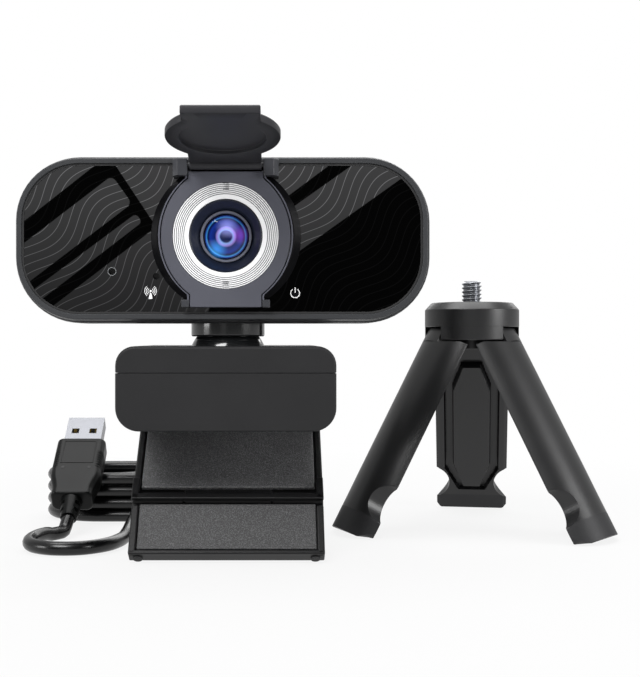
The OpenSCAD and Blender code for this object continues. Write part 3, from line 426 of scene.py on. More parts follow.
def finish(
    name, colour, rough, metal=0.0, grain=0.3, relief=0.012, mottle=0.12, coat=0.0, grain_top_highlight=0.0, gloss=0.5
):
    """A material with moulded grain: grain is its size and relief its depth in millimetres, mottle how much
    the colour wanders, and the grain highlight setting how much lighter the tops of the grain are painted, a
    painted highlight."""
    m = bpy.data.materials.new(name)
    m.use_nodes = True
    tree = m.node_tree
    shader = tree.nodes["Principled BSDF"]
    shader.inputs["Metallic"].default_value = metal
    shader.inputs["Specular IOR Level"].default_value = gloss
    shader.inputs["Coat Weight"].default_value = coat
    shader.inputs["Coat Roughness"].default_value = COAT_ROUGH
    fine, broad = noise(tree, grain, 3.0), noise(tree, PATCH, 2.0)
    base = np.array(colour, float)
    tint = mixed(tree, broad, rgba(base * (1 - mottle)), rgba(base * (1 + mottle)))
    # painted highlight: the tops of the grain are painted lighter
    lift = ranged(tree, fine, GRAIN_HIGHLIGHT_LOW, GRAIN_HIGHLIGHT_HIGH, 0.0, min(1.0, grain_top_highlight))
    tint = mixed(tree, lift, tint, rgba(base * (1 + 2 * grain_top_highlight) + GRAIN_HIGHLIGHT_LIFT * grain_top_highlight))
    put(tree, shader.inputs["Base Color"], tint)
    wear = ranged(tree, broad, 0.0, 1.0, rough * (1 - WEAR), min(1.0, rough * (1 + WEAR)))
    put(tree, shader.inputs["Roughness"], wear)
    if relief > 0:
        bump = tree.nodes.new("ShaderNodeBump")
        bump.inputs["Strength"].default_value = BUMP
        bump.inputs["Distance"].default_value = relief / 1000
        put(tree, bump.inputs["Height"], fine)
        put(tree, shader.inputs["Normal"], bump.outputs["Normal"])
    return m


satin = finish("satin_moulding", ink("#29292b"), 0.42, grain=0.28, relief=0.010, gloss=0.3)
clip_satin = finish("clip_moulding", ink("#222223"), 0.5, grain=0.3, relief=0.010, gloss=0.18)
bezel_satin = finish("bezel_moulding", ink("#323335"), 0.4, grain=0.25, relief=0.006, gloss=0.25)
frame_satin = finish("lens_frame_moulding", ink("#323337"), 0.36, grain=0.25, relief=0.006, gloss=0.3)
# painted highlight: the rims take a paler copy of the frame's moulding, for light lines along the plate's
# edge
rim_painted_highlight = finish("lens_rim_painted_highlight", ink("#50515a"), 0.36, grain=0.25, relief=0.004, gloss=0.3)
# painted shade: the crescents' cones take a darker copy of the frame's moulding
crescent_painted_shade = finish("lens_crescent_painted_shade", ink("#060608"), 0.36, grain=0.25, relief=0.006, gloss=0.1)
flap_satin = finish("flap_moulding", ink("#28282b"), 0.4, grain=0.25, relief=0.006, gloss=0.2)
plate_satin = finish("face_plate_moulding", ink("#4a4b53"), 0.42, grain=0.25, relief=0.008, gloss=0.25)
polished = finish("polished_black", ink("#151617"), 0.16, grain=3.0, relief=0.002, coat=0.4)
leg_black = finish("leg_moulding", ink("#0b0b0c"), 0.38, grain=0.3, relief=0.008, gloss=0.25)
# painted light: the upper pad's rubber is a lighter copy of the foot pad's, to make up for the clip's shade
# over it
leg_rubber = finish(
    "grained_rubber_painted_light", ink("#2c2c2d"), 0.46, grain=0.27, relief=0.15, grain_top_highlight=1.5, mottle=0.06, gloss=1.0
)
foot_rubber = finish(
    "grained_foot_rubber", ink("#171718"), 0.5, grain=0.27, relief=0.13, grain_top_highlight=1.5, mottle=0.06, gloss=0.5
)
soft_black = finish("soft_rubber", ink("#1a1a1b"), 0.7, grain=0.3, relief=0.02, grain_top_highlight=0.2)
jacket = finish("lead_jacket", ink("#060607"), 0.27, grain=1.2, relief=0.003, gloss=0.4)
steel = finish("plain_steel", ink("#b8babc"), 0.28, metal=1.0, grain=0.2, relief=0.002, mottle=0.05)
nickel = finish("nickel_plate", ink("#8c8e92"), 0.32, metal=1.0, grain=0.6, relief=0.001, mottle=0.06)
shell_plate = finish("shell_plate", ink("#75767a"), 0.38, metal=0.9, grain=0.6, relief=0.001, mottle=0.08)
bright = finish("bright_ring", ink("#f4f4f5"), 0.34, metal=0.15, grain=0.15, relief=0.001, mottle=0.02)
brass = finish("turned_brass", ink("#c9a24a"), 0.28, metal=1.0, grain=0.2, relief=0.002, mottle=0.06)
gold = finish("gold_strip", ink("#d9b65c"), 0.22, metal=1.0, grain=0.2, relief=0.001, mottle=0.04)
carrier_black = finish("carrier_black", ink("#131314"), 0.45, grain=0.4, relief=0.003, mottle=0.03)
board_green = finish("board_green", ink("#1f6b3a"), 0.3, grain=1.5, relief=0.006, mottle=0.2)
chip_black = finish("chip_black", ink("#26272a"), 0.5, grain=0.2, relief=0.004)
grip_black = finish("grip_moulding", ink("#050606"), 0.38, grain=0.3, relief=0.006, gloss=0.14)
tripod_satin = finish("tripod_moulding", ink("#141415"), 0.36, grain=0.28, relief=0.008, gloss=0.5)
shoe_rubber = finish("tripod_shoe", ink("#18181a"), 0.5, grain=0.4, relief=0.02, grain_top_highlight=0.1, gloss=0.4)
filter_pink = finish("filter_glass", ink("#c46a78"), 0.08, grain=4.0, relief=0.001, coat=0.5)
light_dark = finish("light_window", ink("#0c0c10"), 0.1, grain=2.0, relief=0.001, mottle=0.03)
mic_dark = finish("capsule_dark", ink("#0a0a0b"), 0.5, grain=0.2, relief=0.004)
print_white = finish("white_print", ink("#e8e8e8"), 0.45, grain=0.2, relief=0.001, mottle=0.03)
print_grey = finish("grey_print", ink("#77797b"), 0.45, grain=0.2, relief=0.001, mottle=0.03)
cone_black = finish("baffle_black", ink("#141927"), 0.34, grain=0.3, relief=0.004, gloss=0.3)
barrel_grey = finish("barrel_grey", ink("#6b6d79"), 0.33, metal=0.35, grain=0.2, relief=0.003)
dark_steel = finish("dark_steel", ink("#2b2c2e"), 0.4, metal=0.6, grain=0.2, relief=0.002)
glass_coated_painted_reflections = finish("coated_glass_painted_reflections", ink("#0a0c20"), 0.04, grain=5.0, relief=0.0, gloss=0.35)


def centred_colour(material, middle, stops):
    """Replaces a material's colour by rings round an axis along Y: stops are (radius in mm, colour)."""
    tree, colour = base_colour(material)
    reach = stops[-1][0]
    ramp = tree.nodes.new("ShaderNodeValToRGB")
    while len(ramp.color_ramp.elements) < len(stops):
        ramp.color_ramp.elements.new(0.5)
    for element, (radius, shade) in zip(ramp.color_ramp.elements, stops):
        element.position = radius / reach
        element.color = rgba(ink(shade))
    put(tree, ramp.inputs["Fac"], calc(tree, "DIVIDE", axis_distance(tree, middle), reach / 1000))
    put(tree, colour, ramp.outputs["Color"])


def paint_reflection_spots(material, middle, sides):
    """Adds painted reflections beside a middle: sides are (x, z) from it, how far each spot spreads, and its
    colour.
    """
    tree, colour = base_colour(material)
    for x, z, spread, shade in sides:
        apart = vector(tree, "DISTANCE", own_point(tree), row_frame(np.array(middle) + [x, 0, z]))
        part = ramped(tree, apart, spread / 1000, 0.0)
        put(tree, colour, mixed(tree, part, colour.links[0].from_socket, rgba(ink(shade)), "ADD"))


def painted_groove_shade(material, middle, first, pitch, width, shade):
    """Darkens a material's colour in round grooves about an axis along Y, from the first one's radius
    outwards, as painted shade.
    """
    tree, colour = base_colour(material)
    share, edge = width / pitch, 0.06
    turn = calc(tree, "MULTIPLY_ADD", axis_distance(tree, middle), 1000 / pitch, -(first + width / 2) / pitch)
    groove = ramped(tree, calc(tree, "PINGPONG", turn, 0.5), share / 2 + edge, share / 2 - edge)
    groove = calc(tree, "MULTIPLY", groove, ramped(tree, turn, -0.5, -0.4))
    put(tree, colour, mixed(tree, groove, colour.links[0].from_socket, rgba(ink(shade))))


LINE_STEP, WAVE_SIZE, WAVE_LENGTH, WAVE_START, WANDER = 2.4, 2.3, 28.0, 10.75, 10.0


def contour_panel():
    """Glossy black with thin paler lines: with u = (x - z) / 1.414 and v = (x + z) / 1.414 in millimetres
    from the head's middle, a line lies wherever u - size * sin(2 pi (v + start + wander) / length) crosses
    a step."""
    m = finish("glossy_panel", ink("#050506"), 0.01, grain=6.0, relief=0.0, mottle=0.02, metal=1.0)
    tree, colour = base_colour(m)
    axes = axes_of(tree, own_point(tree))
    x = calc(tree, "MULTIPLY_ADD", axes["X"], 1000.0, -AXIS[0] * 1000)
    z = calc(tree, "MULTIPLY_ADD", axes["Z"], 1000.0, -head_mid)
    u = calc(tree, "MULTIPLY", calc(tree, "SUBTRACT", x, z), math.sqrt(0.5))
    v = calc(tree, "MULTIPLY", calc(tree, "ADD", x, z), math.sqrt(0.5))
    wander = calc(tree, "MULTIPLY_ADD", noise(tree, 50.0, 0.0), WANDER, -WANDER / 2)
    turn = TAU / WAVE_LENGTH
    p = calc(tree, "MULTIPLY_ADD", calc(tree, "ADD", v, wander), turn, WAVE_START * turn)
    field = calc(tree, "MULTIPLY_ADD", calc(tree, "SINE", p), -WAVE_SIZE, u)
    line = ramped(tree, calc(tree, "PINGPONG", field, LINE_STEP / 2), 0.12, 0.04)
    put(tree, colour, mixed(tree, line, rgba((0.045, 0.045, 0.046)), rgba((0.17, 0.17, 0.175))))
    return m


GROOVE_R, GROOVE_PITCH, GROOVE_W, GROOVE_DEEP = 10.95, 0.5, 0.22, 0.22
panel_gloss = contour_panel()
# painted shade: the silver ring's grooves are darkened in its colour
painted_groove_shade(bright, (0, 0, lens_mid), GROOVE_R, GROOVE_PITCH, GROOVE_W, "#7c7d82")
# painted reflections: pale blue and violet rings in the front glass's colour stand for lens elements and
# coating seen in it
centred_colour(
    glass_coated_painted_reflections,
    (0, 0, lens_mid),
    [
        (0.0, "#0a1234"), (1.5, "#0c1a4a"), (1.9, "#7f9bd8"), (2.4, "#8a78c8"), (2.9, "#101c58"),
        (4.2, "#14308c"), (4.9, "#0b1238"), (5.3, "#3d8fd6"), (5.5, "#1a3c9c"), (5.8, "#070a1c"),
    ],
)
# painted reflections: coloured glints spread on the front glass
paint_reflection_spots(
    glass_coated_painted_reflections,
    (0, -14.5, lens_mid),
    [(-2.6, -3.6, 3.4, "#2a86c8"), (3.8, 0.6, 3.2, "#7a3c9c"), (0.4, 2.6, 3.6, "#8c90d8")],
)

# ---- Head ----

HEAD_W, HEAD_H, HEAD_CORNER = shell_high[0] - shell_low[0], shell_high[2] - shell_low[2], 17.5
BEZEL_BACK, HEAD_BACK, SHELL_WALL = -11.4, shell_high[1], 2.0
SCREW_X, SCREW_Z, SCREW_HEAD_R = 45.0, 9.0, 2.3
PRINT_Y, PRINT_BACK = panel_front - 0.03, panel_front + 0.02
LIGHT_AT = ((light_low[0] + light_high[0]) / 2, (light_low[2] + light_high[2]) / 2)
SIGNAL_AT = (-20.1, head_mid - 13.9)
HOLE_AT = (-30.4, head_mid - 8.7)


def head_outline(inset, less_h=0.0):
    """The head's front outline, cut back by inset all round and by less_h more at top and bottom."""
    r = HEAD_CORNER - inset - less_h / 2
    return round_rect(HEAD_W - 2 * inset, HEAD_H - 2 * inset - 2 * less_h, r, 14)


def head_ring(wall):
    """A closed ring that follows the head's outline, through points (depth, inset)."""
    return Form().grid([facing(head_outline(i), y) for y, i in wall], along=True)


def make_bezel():
    """A closed ring: out along the swelling side, round the rim's edge, in along the flat rim and back
    inside. A dark strip lies between it and the panel, painted shade for the gap in shadow there."""
    a = np.linspace(0, math.pi / 2, 8)
    edge_r, inner_r = 0.4, 0.15
    side = [(BEZEL_BACK, 0.45), (-12.6, 0.62), (-13.6, 0.8)]
    edge = [(bezel_front + edge_r * (1 - math.sin(t)), 0.9 + edge_r * (1 - math.cos(t))) for t in a]
    inner = [(bezel_front + inner_r * (1 - math.cos(t)), 2.2 + inner_r * math.sin(t)) for t in a]
    inside = [(panel_front + 0.3, 2.45), (BEZEL_BACK, 2.45)]
    head_ring(side + edge + inner + inside).make("bezel_rim", "head", bezel_satin, HEAD, ["front_bezel"])
    # painted shade: a dark strip stands for the shadowed gap round the panel
    back, front = -12.0, panel_front - 0.16
    shadow_gap_ring = [(back, 2.4), (front + 0.04, 2.4), (front, 2.45), (front, 2.95), (back, 2.95)]
    head_ring(shadow_gap_ring).make("panel_seal", "head", soft_black, HEAD, slot="front_bezel")


def shell_profile(inset):
    """Depth, inset and extra height cut of the rear shell: a roll at the seam, straight, then an ellipse."""
    straight, draw, dip = 2.0, 9.0, 2.0
    rows = [(BEZEL_BACK + 0.05, 0.32, 0), (BEZEL_BACK + 0.5, 0.1, 0), (BEZEL_BACK + 1.2, 0, 0), (-4, 0, 0)]
    rows.append((straight, 0, 0))
    for s in np.sin(np.linspace(0, 1, 16)[1:] * math.pi / 2):
        turn = 1 - math.sqrt(max(0, 1 - s * s))
        rows.append((straight + (HEAD_BACK - straight) * s, draw * turn, dip * s**4))
    return [(y - (inset if y > 0 else 0), i + inset, h) for y, i, h in rows]


def make_housing():
    """Outer and inner skins joined at the seam, with four screw wells cut through the back."""
    skins = [[facing(head_outline(i, h), y) for y, i, h in shell_profile(k)] for k in (0, SHELL_WALL)]
    form = Form()
    for skin in skins:
        form.grid(skin).cap(skin[-1])
    form.grid([skins[0][0], skins[1][0]])
    shell = form.make("housing_shell", "head", satin, HEAD, ["rear_housing"], sharp=40, even=False)
    cutter, wells = Form(), Form()
    bore, head, wall, seat, floor, mouth = 1.3, SCREW_HEAD_R, 3.4, 4.3, 2.6, 12.2
    well = [(bore, seat), (head, seat), (head, mouth), (wall, mouth), (wall, floor), (bore, floor)]
    for x in (-SCREW_X - head_side, SCREW_X - head_side):
        for z in (-SCREW_Z, SCREW_Z):
            rod(cutter, head, 3.0, HEAD_BACK + 3, 0.1, "y", (x, z), 40)
            turned(wells, well, 40, "y", (x, z), True)
    carve(shell, cutter.make("well_tool", None, satin, HEAD))
    wells.make("screw_wells", "head", satin, HEAD, slot="rear_housing")


def arc_band(form, middle, r0, r1, a0, a1, count=40):
    """Adds part of a flat printed ring on the panel, between two radii and two angles in degrees."""
    a = np.radians(np.linspace(a0, a1, count))
    loop = [(r0, PRINT_BACK), (r0, PRINT_Y), (r1, PRINT_Y), (r1, PRINT_BACK)]
    ring = [np.stack([middle[0] + r * np.cos(a), 0 * a + y, middle[1] + r * np.sin(a)], -1) for r, y in loop]
    return form.stack(np.stack(ring, 1))


def make_prints():
    """White marks printed on the panel: a power sign over the light, a mast with three waves each side, and a
    thin ring round the left hole."""
    form = Form()
    x, z = LIGHT_AT
    arc_band(form, (x, z), 1.08, 1.3, -238, 58)
    block(form, (x - 0.12, PRINT_Y, z + 0.15), (x + 0.12, PRINT_BACK, z + 1.55), 0.02, "front")
    form.make("power_print", "head", print_white, SET, slot="front_panel", even=False)
    form = Form()
    x, z = SIGNAL_AT
    arc_band(form, (x, z), 0.0, 0.26, 0, 360)
    for r in (0.62, 1.05, 1.48):
        arc_band(form, (x, z), r, r + 0.16, -52, 52)
        arc_band(form, (x, z), r, r + 0.16, 128, 232)
    foot, top, low, high = 0.55, 0.16, z - 2.1, z - 0.45
    corners = [(x - foot, low, 0.1), (x + foot, low, 0.1), (x + top, high, 0.05), (x - top, high, 0.05)]
    mast = rounded_poly(corners, 4)
    form.stack([facing(mast, PRINT_BACK), facing(mast, PRINT_Y)])
    form.make("signal_print", "head", print_white, SET, slot="front_panel", even=False)
    form = arc_band(Form(), HOLE_AT, 1.0, 1.13, 0, 360, 64)
    form.make("hole_print", "head", print_grey, SET, slot="front_panel", even=False)


make_bezel()
make_housing()
make_prints()

# ---- Lens and its frame ----

FRAME_Y, PANEL_Y, FACE_Y, PLATE_BACK = -17.4, -14.4, -17.2, -15.4
PLATE_R, PLATE_SHIFT, TOP_HALF, LOW_HALF = 19.5, 2.3, 10.0, 9.5
LOW_Z, TOP_Z, LUG_H, OPENING_R = -18.9, 17.0, 1.9, 14.08


def plate_side(z, seam=0.0):
    """Half width of the face plate at height z: a shifted circle, widening to the squared ends."""
    arc = np.sqrt(np.maximum((PLATE_R + seam) ** 2 - z * z, 0)) - PLATE_SHIFT
    return np.maximum(arc, np.where(z > 0, TOP_HALF, LOW_HALF) + seam)


def add_crescent(cones, rims, side):
    """A row of sections from the plate's edge out to a cone, and a narrow rim along the plate's edge."""
    z = np.concatenate([np.linspace(LOW_Z + LUG_H, 12, 60), np.linspace(12.1, 15.75, 24)])
    inner = plate_side(z, 0.15)
    low, lip = FRAME_Y + 0.05, 0.5
    cone = [(PANEL_Y, 20.0), (-14.8, 19.8), (-17.0, 18.35), (-17.25, 18.2), (FRAME_Y, 17.95)]
    loop = [(inner, PANEL_Y), (inner, FRAME_Y + 0.2), (inner + 0.12, low)]
    for y, r in reversed(cone):
        outer = np.maximum(np.sqrt(np.maximum(r * r - z * z, 0)), inner + 0.02)
        loop.append((np.maximum(outer, inner + 0.13), max(y, low)))
    swept(cones, loop, z, side)
    back, bend = FRAME_Y + 0.4, FRAME_Y + 0.1
    edge = [(0.04, back), (0.04, bend), (0.12, FRAME_Y), (lip - 0.08, FRAME_Y), (lip, bend), (lip, back)]
    swept(rims, [(inner + x, y) for x, y in edge], z, side)


def add_ear(form, side):
    """An ear in two steps beside the flap's hinge, and a lug under the plate."""
    inner, middle, outer = side * 10.0, side * 12.7, side * 14.0
    front = FACE_Y - 1.7
    for low, high, back, ease in ((15.7, 17.6, PANEL_Y, 0.1), (17.2, 20.3, -15.05, 0.35)):
        corners = [(inner, front, 0.3), (middle, front, 0.4), (outer, FACE_Y, 0.3)]
        corners += [(outer, back, 0.1), (inner, back, 0.1)]
        slab(form, rounded_poly(corners[::side], 4), low, high, ease, way="top")
    lug = side * 10.7
    block(form, (lug - 1.0, FRAME_Y, LOW_Z), (lug + 1.0, PANEL_Y, LOW_Z + 2.0), 0.2, "front")


def make_cover_frame():
    """Two crescents beside the face plate, their rims, and the ears and lugs on a turned ring; the crescents
    are coloured darker than the frame as painted shade, and the rims paler as painted highlight.
    """
    form, rims, cones = Form(), Form(), Form()
    for side in (-1, 1):
        add_crescent(cones, rims, side)
        add_ear(form, side)
    ring = [(10.5, PANEL_Y), (16.6, PANEL_Y), (16.6, PLATE_BACK), (10.5, PLATE_BACK)]
    turned(form, ring, 96, closed=True)
    # the crescents carry painted shade and the rims painted highlight
    cones.make("lens_crescents", "head", crescent_painted_shade, LENS, slot="cover_frame")
    rims.make("lens_rims", "head", rim_painted_highlight, LENS, slot="cover_frame")
    form.make("lens_cover_frame", "head", frame_satin, LENS, ["cover_frame"])


def make_face_plate():
    """A ring between the plate's outline, as a radius for each angle, and the silver ring's round opening."""
    count, stride = 1440, 6
    t = np.linspace(0, TAU, count, endpoint=False)
    far = np.linspace(9.0, 21.0, 1201)
    x, z = far[None] * np.abs(np.cos(t))[:, None], far[None] * np.sin(t)[:, None]
    inside = (x < plate_side(z)) & (z > LOW_Z) & (z < TOP_Z) & ((z > LOW_Z + LUG_H) | (x < LOW_HALF))
    radius = far[0] + (far[1] - far[0]) * inside.sum(1)
    bends = np.where(np.abs(np.diff(radius, 2, append=[0, 0])) > 0.03)[0] + 1
    keep = np.unique(np.concatenate([np.arange(0, count, stride), bends]) % count)
    t, radius = t[keep], radius[keep]
    loop = [(OPENING_R, PLATE_BACK), (OPENING_R, FACE_Y + 0.15), (OPENING_R + 0.14, FACE_Y)]
    loop += [(radius - 0.3, FACE_Y), (radius - 0.1, FACE_Y + 0.1)]
    loop += [(radius, FACE_Y + 0.3), (radius, PLATE_BACK)]
    rings = [np.stack([r * np.cos(t), 0 * t + y, r * np.sin(t)], -1) for r, y in loop]
    Form().grid(rings, along=True).make("lens_face_plate", "head", plate_satin, LENS, ["face_plate"])


def make_silver_ring():
    """A turned ring whose front face steps down into fine grooves, with a notch at top and bottom."""
    notch, between = np.linspace(-4, 4, 9), np.linspace(4.4, 175.6, 90)
    t = np.concatenate([notch, between, notch + 180, between + 180])
    a = np.radians(t + 90)
    front, inner_r, outer_r = FACE_Y + 0.1, 9.75, 14.0
    floor, flank = front + GROOVE_DEEP, 0.05
    profile = [(inner_r, PLATE_BACK), (inner_r, front + 0.12), (inner_r + 0.12, front)]
    profile += [(GROOVE_R - flank, front)]
    for k in range(6):
        r = GROOVE_R + GROOVE_PITCH * k
        profile += [(r, front), (r + flank, floor), (r + GROOVE_W - flank, floor), (r + GROOVE_W, front)]
    profile += [(outer_r - 0.15, front), (outer_r, front + 0.15), (outer_r, PLATE_BACK)]
    r, y = np.array(profile).T
    cut = (np.abs(np.mod(t + 90, 180) - 90) < 3.2)[None] & (r > 12.2)[:, None] & (y < -16)[:, None]
    depth = np.where(cut, front + 0.8, y[:, None])
    p = np.stack([r[:, None] * np.cos(a), depth, r[:, None] * np.sin(a)], -1)
    Form().grid(p, along=True).make("grooved_ring", "head", bright, LENS, ["lens_ring"], sharp=25)


def make_optics():
    """Cone with fine baffle steps, barrel with a turned lip, and the front glass as a cap of a sphere."""
    steps, count = [], 7
    for k in range(count):
        f = k / count
        r = 9.45 - 2.4 * f
        steps += [(r, -16.9 + 2.8 * f), (r - 0.33, -16.9 + 2.8 * (f + 0.135))]
    profile = [(10.2, -12.9), (10.2, -15.45), (9.7, -15.45), (9.7, -16.8), (9.55, -16.95), *steps]
    profile += [(6.95, -13.95), (6.95, -12.9)]
    turned(Form(), profile, 128, closed=True).make("baffle_cone", "head", cone_black, LENS, ["lens_cone"])
    lip = [(6.9, -14.45), (6.75, -14.6), (6.4, -14.6), (6.2, -14.35), (6.2, -12.8), (5.4, -12.8)]
    lip += [(5.4, -12.2), (3.9, -11), (3.9, -6.4), (3, -6.4), (3, -5), (6.9, -5)]
    turned(Form(), lip, 96, closed=True).make("lens_tube", "head", barrel_grey, LENS, ["lens_barrel"])
    sphere, edge, top, base = 16.6, 6.15, -14.55, -12.85
    a = np.linspace(0, math.asin(edge / sphere), 14)
    dome = [(sphere * math.sin(k), top + sphere * (1 - math.cos(k))) for k in a] + [(edge, base), (0, base)]
    turned(Form(), dome, 96).make("front_glass", "head", glass_coated_painted_reflections, LENS, ["front_lens"])


make_cover_frame()
make_face_plate()
make_silver_ring()
make_optics()

# ---- Privacy flap ----

FLAP_R, FLAP_HALF, FLAP_UP, FLAP_DOWN, FLAP_DROP, FLAP_THICK = 14.35, 9.5, 18.4, 16.0, 18.6, 2.2
RECESS_R, RECESS_DEEP = 10.85, 1.0


def make_flap():
    """A disc with a squared root and tab as a radius for each angle, blended from circles at its middle;
    the inner side has a round recess, and a round bar runs along the hinge."""
    t = np.linspace(0, TAU, 720, endpoint=False)
    c, s = np.abs(np.cos(t)) + 1e-9, np.sin(t)
    strip = np.minimum(FLAP_HALF / c, np.where(s > 0, FLAP_UP, FLAP_DOWN) / (np.abs(s) + 1e-9))
    radius = np.maximum(FLAP_R, strip)
    reach = 6
    blur = np.exp(-0.5 * (np.arange(-reach, reach + 1) / 0.9) ** 2)
    wide = np.concatenate([radius[-reach:], radius, radius[:reach]])
    radius = np.convolve(wide, blur / blur.sum(), "valid")

    def ring(share, y, inset=0.0, circle=0.0):
        """Share 1 is the flap's outline less the inset, share 0 a circle."""
        r = circle * (1 - share) + share * (radius - inset)
        return np.stack([r * np.cos(t), 0 * t + y, r * np.sin(t) - FLAP_DROP], -1)

    back, floor = -FLAP_THICK, -RECESS_DEEP
    outer_face = [ring(0, back), ring(0, back, 0, 7), ring(0.5, back, 0.5, 10.9), ring(1, back, 0.5)]
    edge = [ring(1, back + 0.1, 0.22), ring(1, back + 0.4), ring(1, -0.35), ring(1, -0.1, 0.12)]
    inner_face = [ring(1, 0, 0.4), ring(0.4, 0, 0.4, 11.0), ring(0, 0, 0, 11.0)]
    recess = [ring(0, -0.1, 0, RECESS_R), ring(0, -0.85, 0, 10.8), ring(0, floor, 0, 10.6)]
    rows = outer_face + edge + inner_face + recess + [ring(0, floor, 0, 5), ring(0, floor)]
    form = Form().grid(rows)
    rod(form, 1.3, -FLAP_HALF, FLAP_HALF, 0.15, "x")
    form.make("hinged_flap", "flap", flap_satin, FLAP, ["privacy_flap"])


make_flap()

# ---- Neck ----

SEAT_R, BALL_R, BALL_BORE, SCREW_BORE = 11.2, 10.9, 9.0, 1.6


def on_ball(r, angles):
    """Points (radius, height) of a sphere about the tilt axis, at angles from straight up."""
    return [(r * math.sin(k), ball[2] + r * math.cos(k)) for k in angles]


def make_neck():
    """Collar: a turned ring with an eased foot over a round seat. Ball: a turned shell with a flat base."""
    r, ease = 10.2, 0.5
    under = on_ball(SEAT_R, np.linspace(math.acos((collar_base - ball[2]) / SEAT_R), 0.2, 12))
    a = np.linspace(0, math.pi / 2, 6)
    foot = [(r - ease * (1 - math.cos(k)), collar_base + ease * (1 - math.sin(k))) for k in a]
    profile = [(SCREW_BORE, collar_top), (r, collar_top), (r, collar_base + 3.0), *foot]
    profile += [(under[0][0] + 0.1, collar_base), *under, (SCREW_BORE, under[-1][1])]
    collar = turned(Form(), profile, 128, "z", closed=True)
    collar.make("neck_ring", "head", polished, SET, ["neck_collar"])
    low = math.acos(max(-1, (cover_low[2] + 0.35 - ball[2]) / BALL_R))
    shell = on_ball(BALL_R, np.linspace(low, 0.12, 30))
    inner = on_ball(BALL_BORE, np.linspace(0.145, 1.55, 20))
    web, base, base_r = ball[2] - 0.8, 48.9, 3.5
    bottom = [(BALL_BORE, web), (SCREW_BORE, web), (SCREW_BORE, base), (base_r, base), (base_r, shell[0][1])]
    dome = turned(Form(), shell + inner + bottom, 128, "z", closed=True)
    dome.make("neck_ball", "swivel", polished, SET, ["swivel_dome"])


make_neck()

# ---- Clip ----

COVER_TOP, SEAM_Z, SEAM_GAP, PLATE_Z = cover_high[2], cover_low[2], 0.08, 46.56
CLIP_HALF, CLIP_FRONT, CLIP_BACK = (cover_high[0] - cover_low[0]) / 2, cover_low[1], cover_high[1]
LIP_BACK, PAD_W, PAD_THICK = -12.5, 48.0, 1.2


def cover_section(top_cut, side_cut, y):
    """The cover's front outline at depth y, cut back at its top and sides."""
    w, low, high = CLIP_HALF - side_cut, SEAM_Z + SEAM_GAP, COVER_TOP - top_cut
    r = min(max(5.1 - side_cut, 0.5), high - low - 0.1)
    return facing(rect((-w, low), (w, high), 0.2, r, 9), y)


def make_clip_cover():
    """The front outline carried back, rolling in at the front edge and down at the rear, over the ball."""
    a = np.linspace(0, math.pi / 2, 8)
    sine, cosine = [math.sin(k) for k in a], [math.cos(k) for k in a]
    edge, rear_drop, rear = 0.8, 5.4, 5.5
    rows = []
    for s, c in zip(sine, cosine):
        rows.append(cover_section(edge * (1 - s), 0.6 * (1 - s), CLIP_FRONT + edge * (1 - c)))
    for s, c in zip(sine, cosine):
        rows.append(cover_section(rear_drop * (1 - c), edge * (1 - c), CLIP_BACK - rear + rear * s))
    cover = Form().stack(rows).make("clip_top", "stand", clip_satin, SET, ["clip_cover"], even=False)
    seat = turned(Form(), on_ball(SEAT_R, np.linspace(0, math.pi, 48)), 96, "z")
    carve(cover, seat.make("seat_tool", None, clip_satin))


def make_clip_body():
    """A lip with rounded lower corners, a top plate and two cheeks with round hinge lugs."""
    form = Form()
    w, high, corner = CLIP_HALF, SEAM_Z - SEAM_GAP, 6.25
    rows = []
    for y, i in eased(CLIP_FRONT, LIP_BACK, 0.6, 0.5, 7):
        rows.append(facing(rect((i - w, lip_low + i), (w - i, high), corner - i, 0.1, 12), y))
    form.stack(rows)
    slab(form, rect((-w, -14), (w, 24), 0.2, 2.5, 6), PLATE_Z, high, 0.25, way="top")
    cheek = [(-13, 44.0, 0.3), (36, 43.8, 2), (41, 45.0, 2), (41, 50.5, 2), (35, 51.1, 0.3), (-13, 49, 0.3)]
    for side in (-1, 1):
        x0, x1 = sorted((side * (w - 2.5), side * w))
        slab(form, rounded_poly(cheek, 5), x0, x1, 0.3, way="side")
        rod(form, 4.4, x0, x1, 0.4, "x", leg_axis[1:])
    form.make("clip_body", "stand", clip_satin, SET, ["clip_frame"])


def make_clip_pads():
    """A soft pad behind the lip and one under the top plate."""
    place = Matrix.Translation((0, LIP_BACK, (lip_low + PLATE_Z) / 2))
    pad = slab(Form(), round_rect(PAD_W, 9.6, 2), 0, PAD_THICK, 0.05, 0.4)
    pad.make("lip_pad_soft", "stand", soft_black, place, ["lip_pad"])
    pad = slab(Form(), round_rect(PAD_W, 23, 2), PLATE_Z - PAD_THICK, PLATE_Z, 0.4, 0.05, way="top")
    pad.make("top_pad_soft", "stand", soft_black, Matrix.Translation((0, 2.5, 0)), ["top_pad"])


make_clip_cover()
make_clip_body()
make_clip_pads()

# ---- Leg and foot ----

LEG_HALF, RIM_W, WEB, RIM_TOP, LEG_END, FOOT_END = 26.5, 2.0, 1.6, 2.8, -47.3, -17.5
ARM_LOW, ARM_TOP, ARM_END, FOOT_HINGE, KNUCKLE_R, KNUCKLE_HALF = 3.45, 4.65, -53.0, -50.0, 2.4, 12.0
PAD_HALF, PAD_LOW, PAD_HIGH = 24.3, 1.5, 2.58


def both_sides(inner, outer):
    """The low and high X of a strip between two half widths, on the left and on the right."""
    return (-outer, -inner), (inner, outer)


def add_pad(name, body, material, place, stands_for, y0, y1, r_high):
    """A rubber sheet between a plate's raised rims, from y0 to y1."""
    sheet = rect((-PAD_HALF, y0), (PAD_HALF, y1), 0.4, r_high, 5)
    pad = slab(Form(), sheet, PAD_LOW, PAD_HIGH, 0.05, 0.3, way="top")
    pad.make(name, body, material, place, [stands_for])


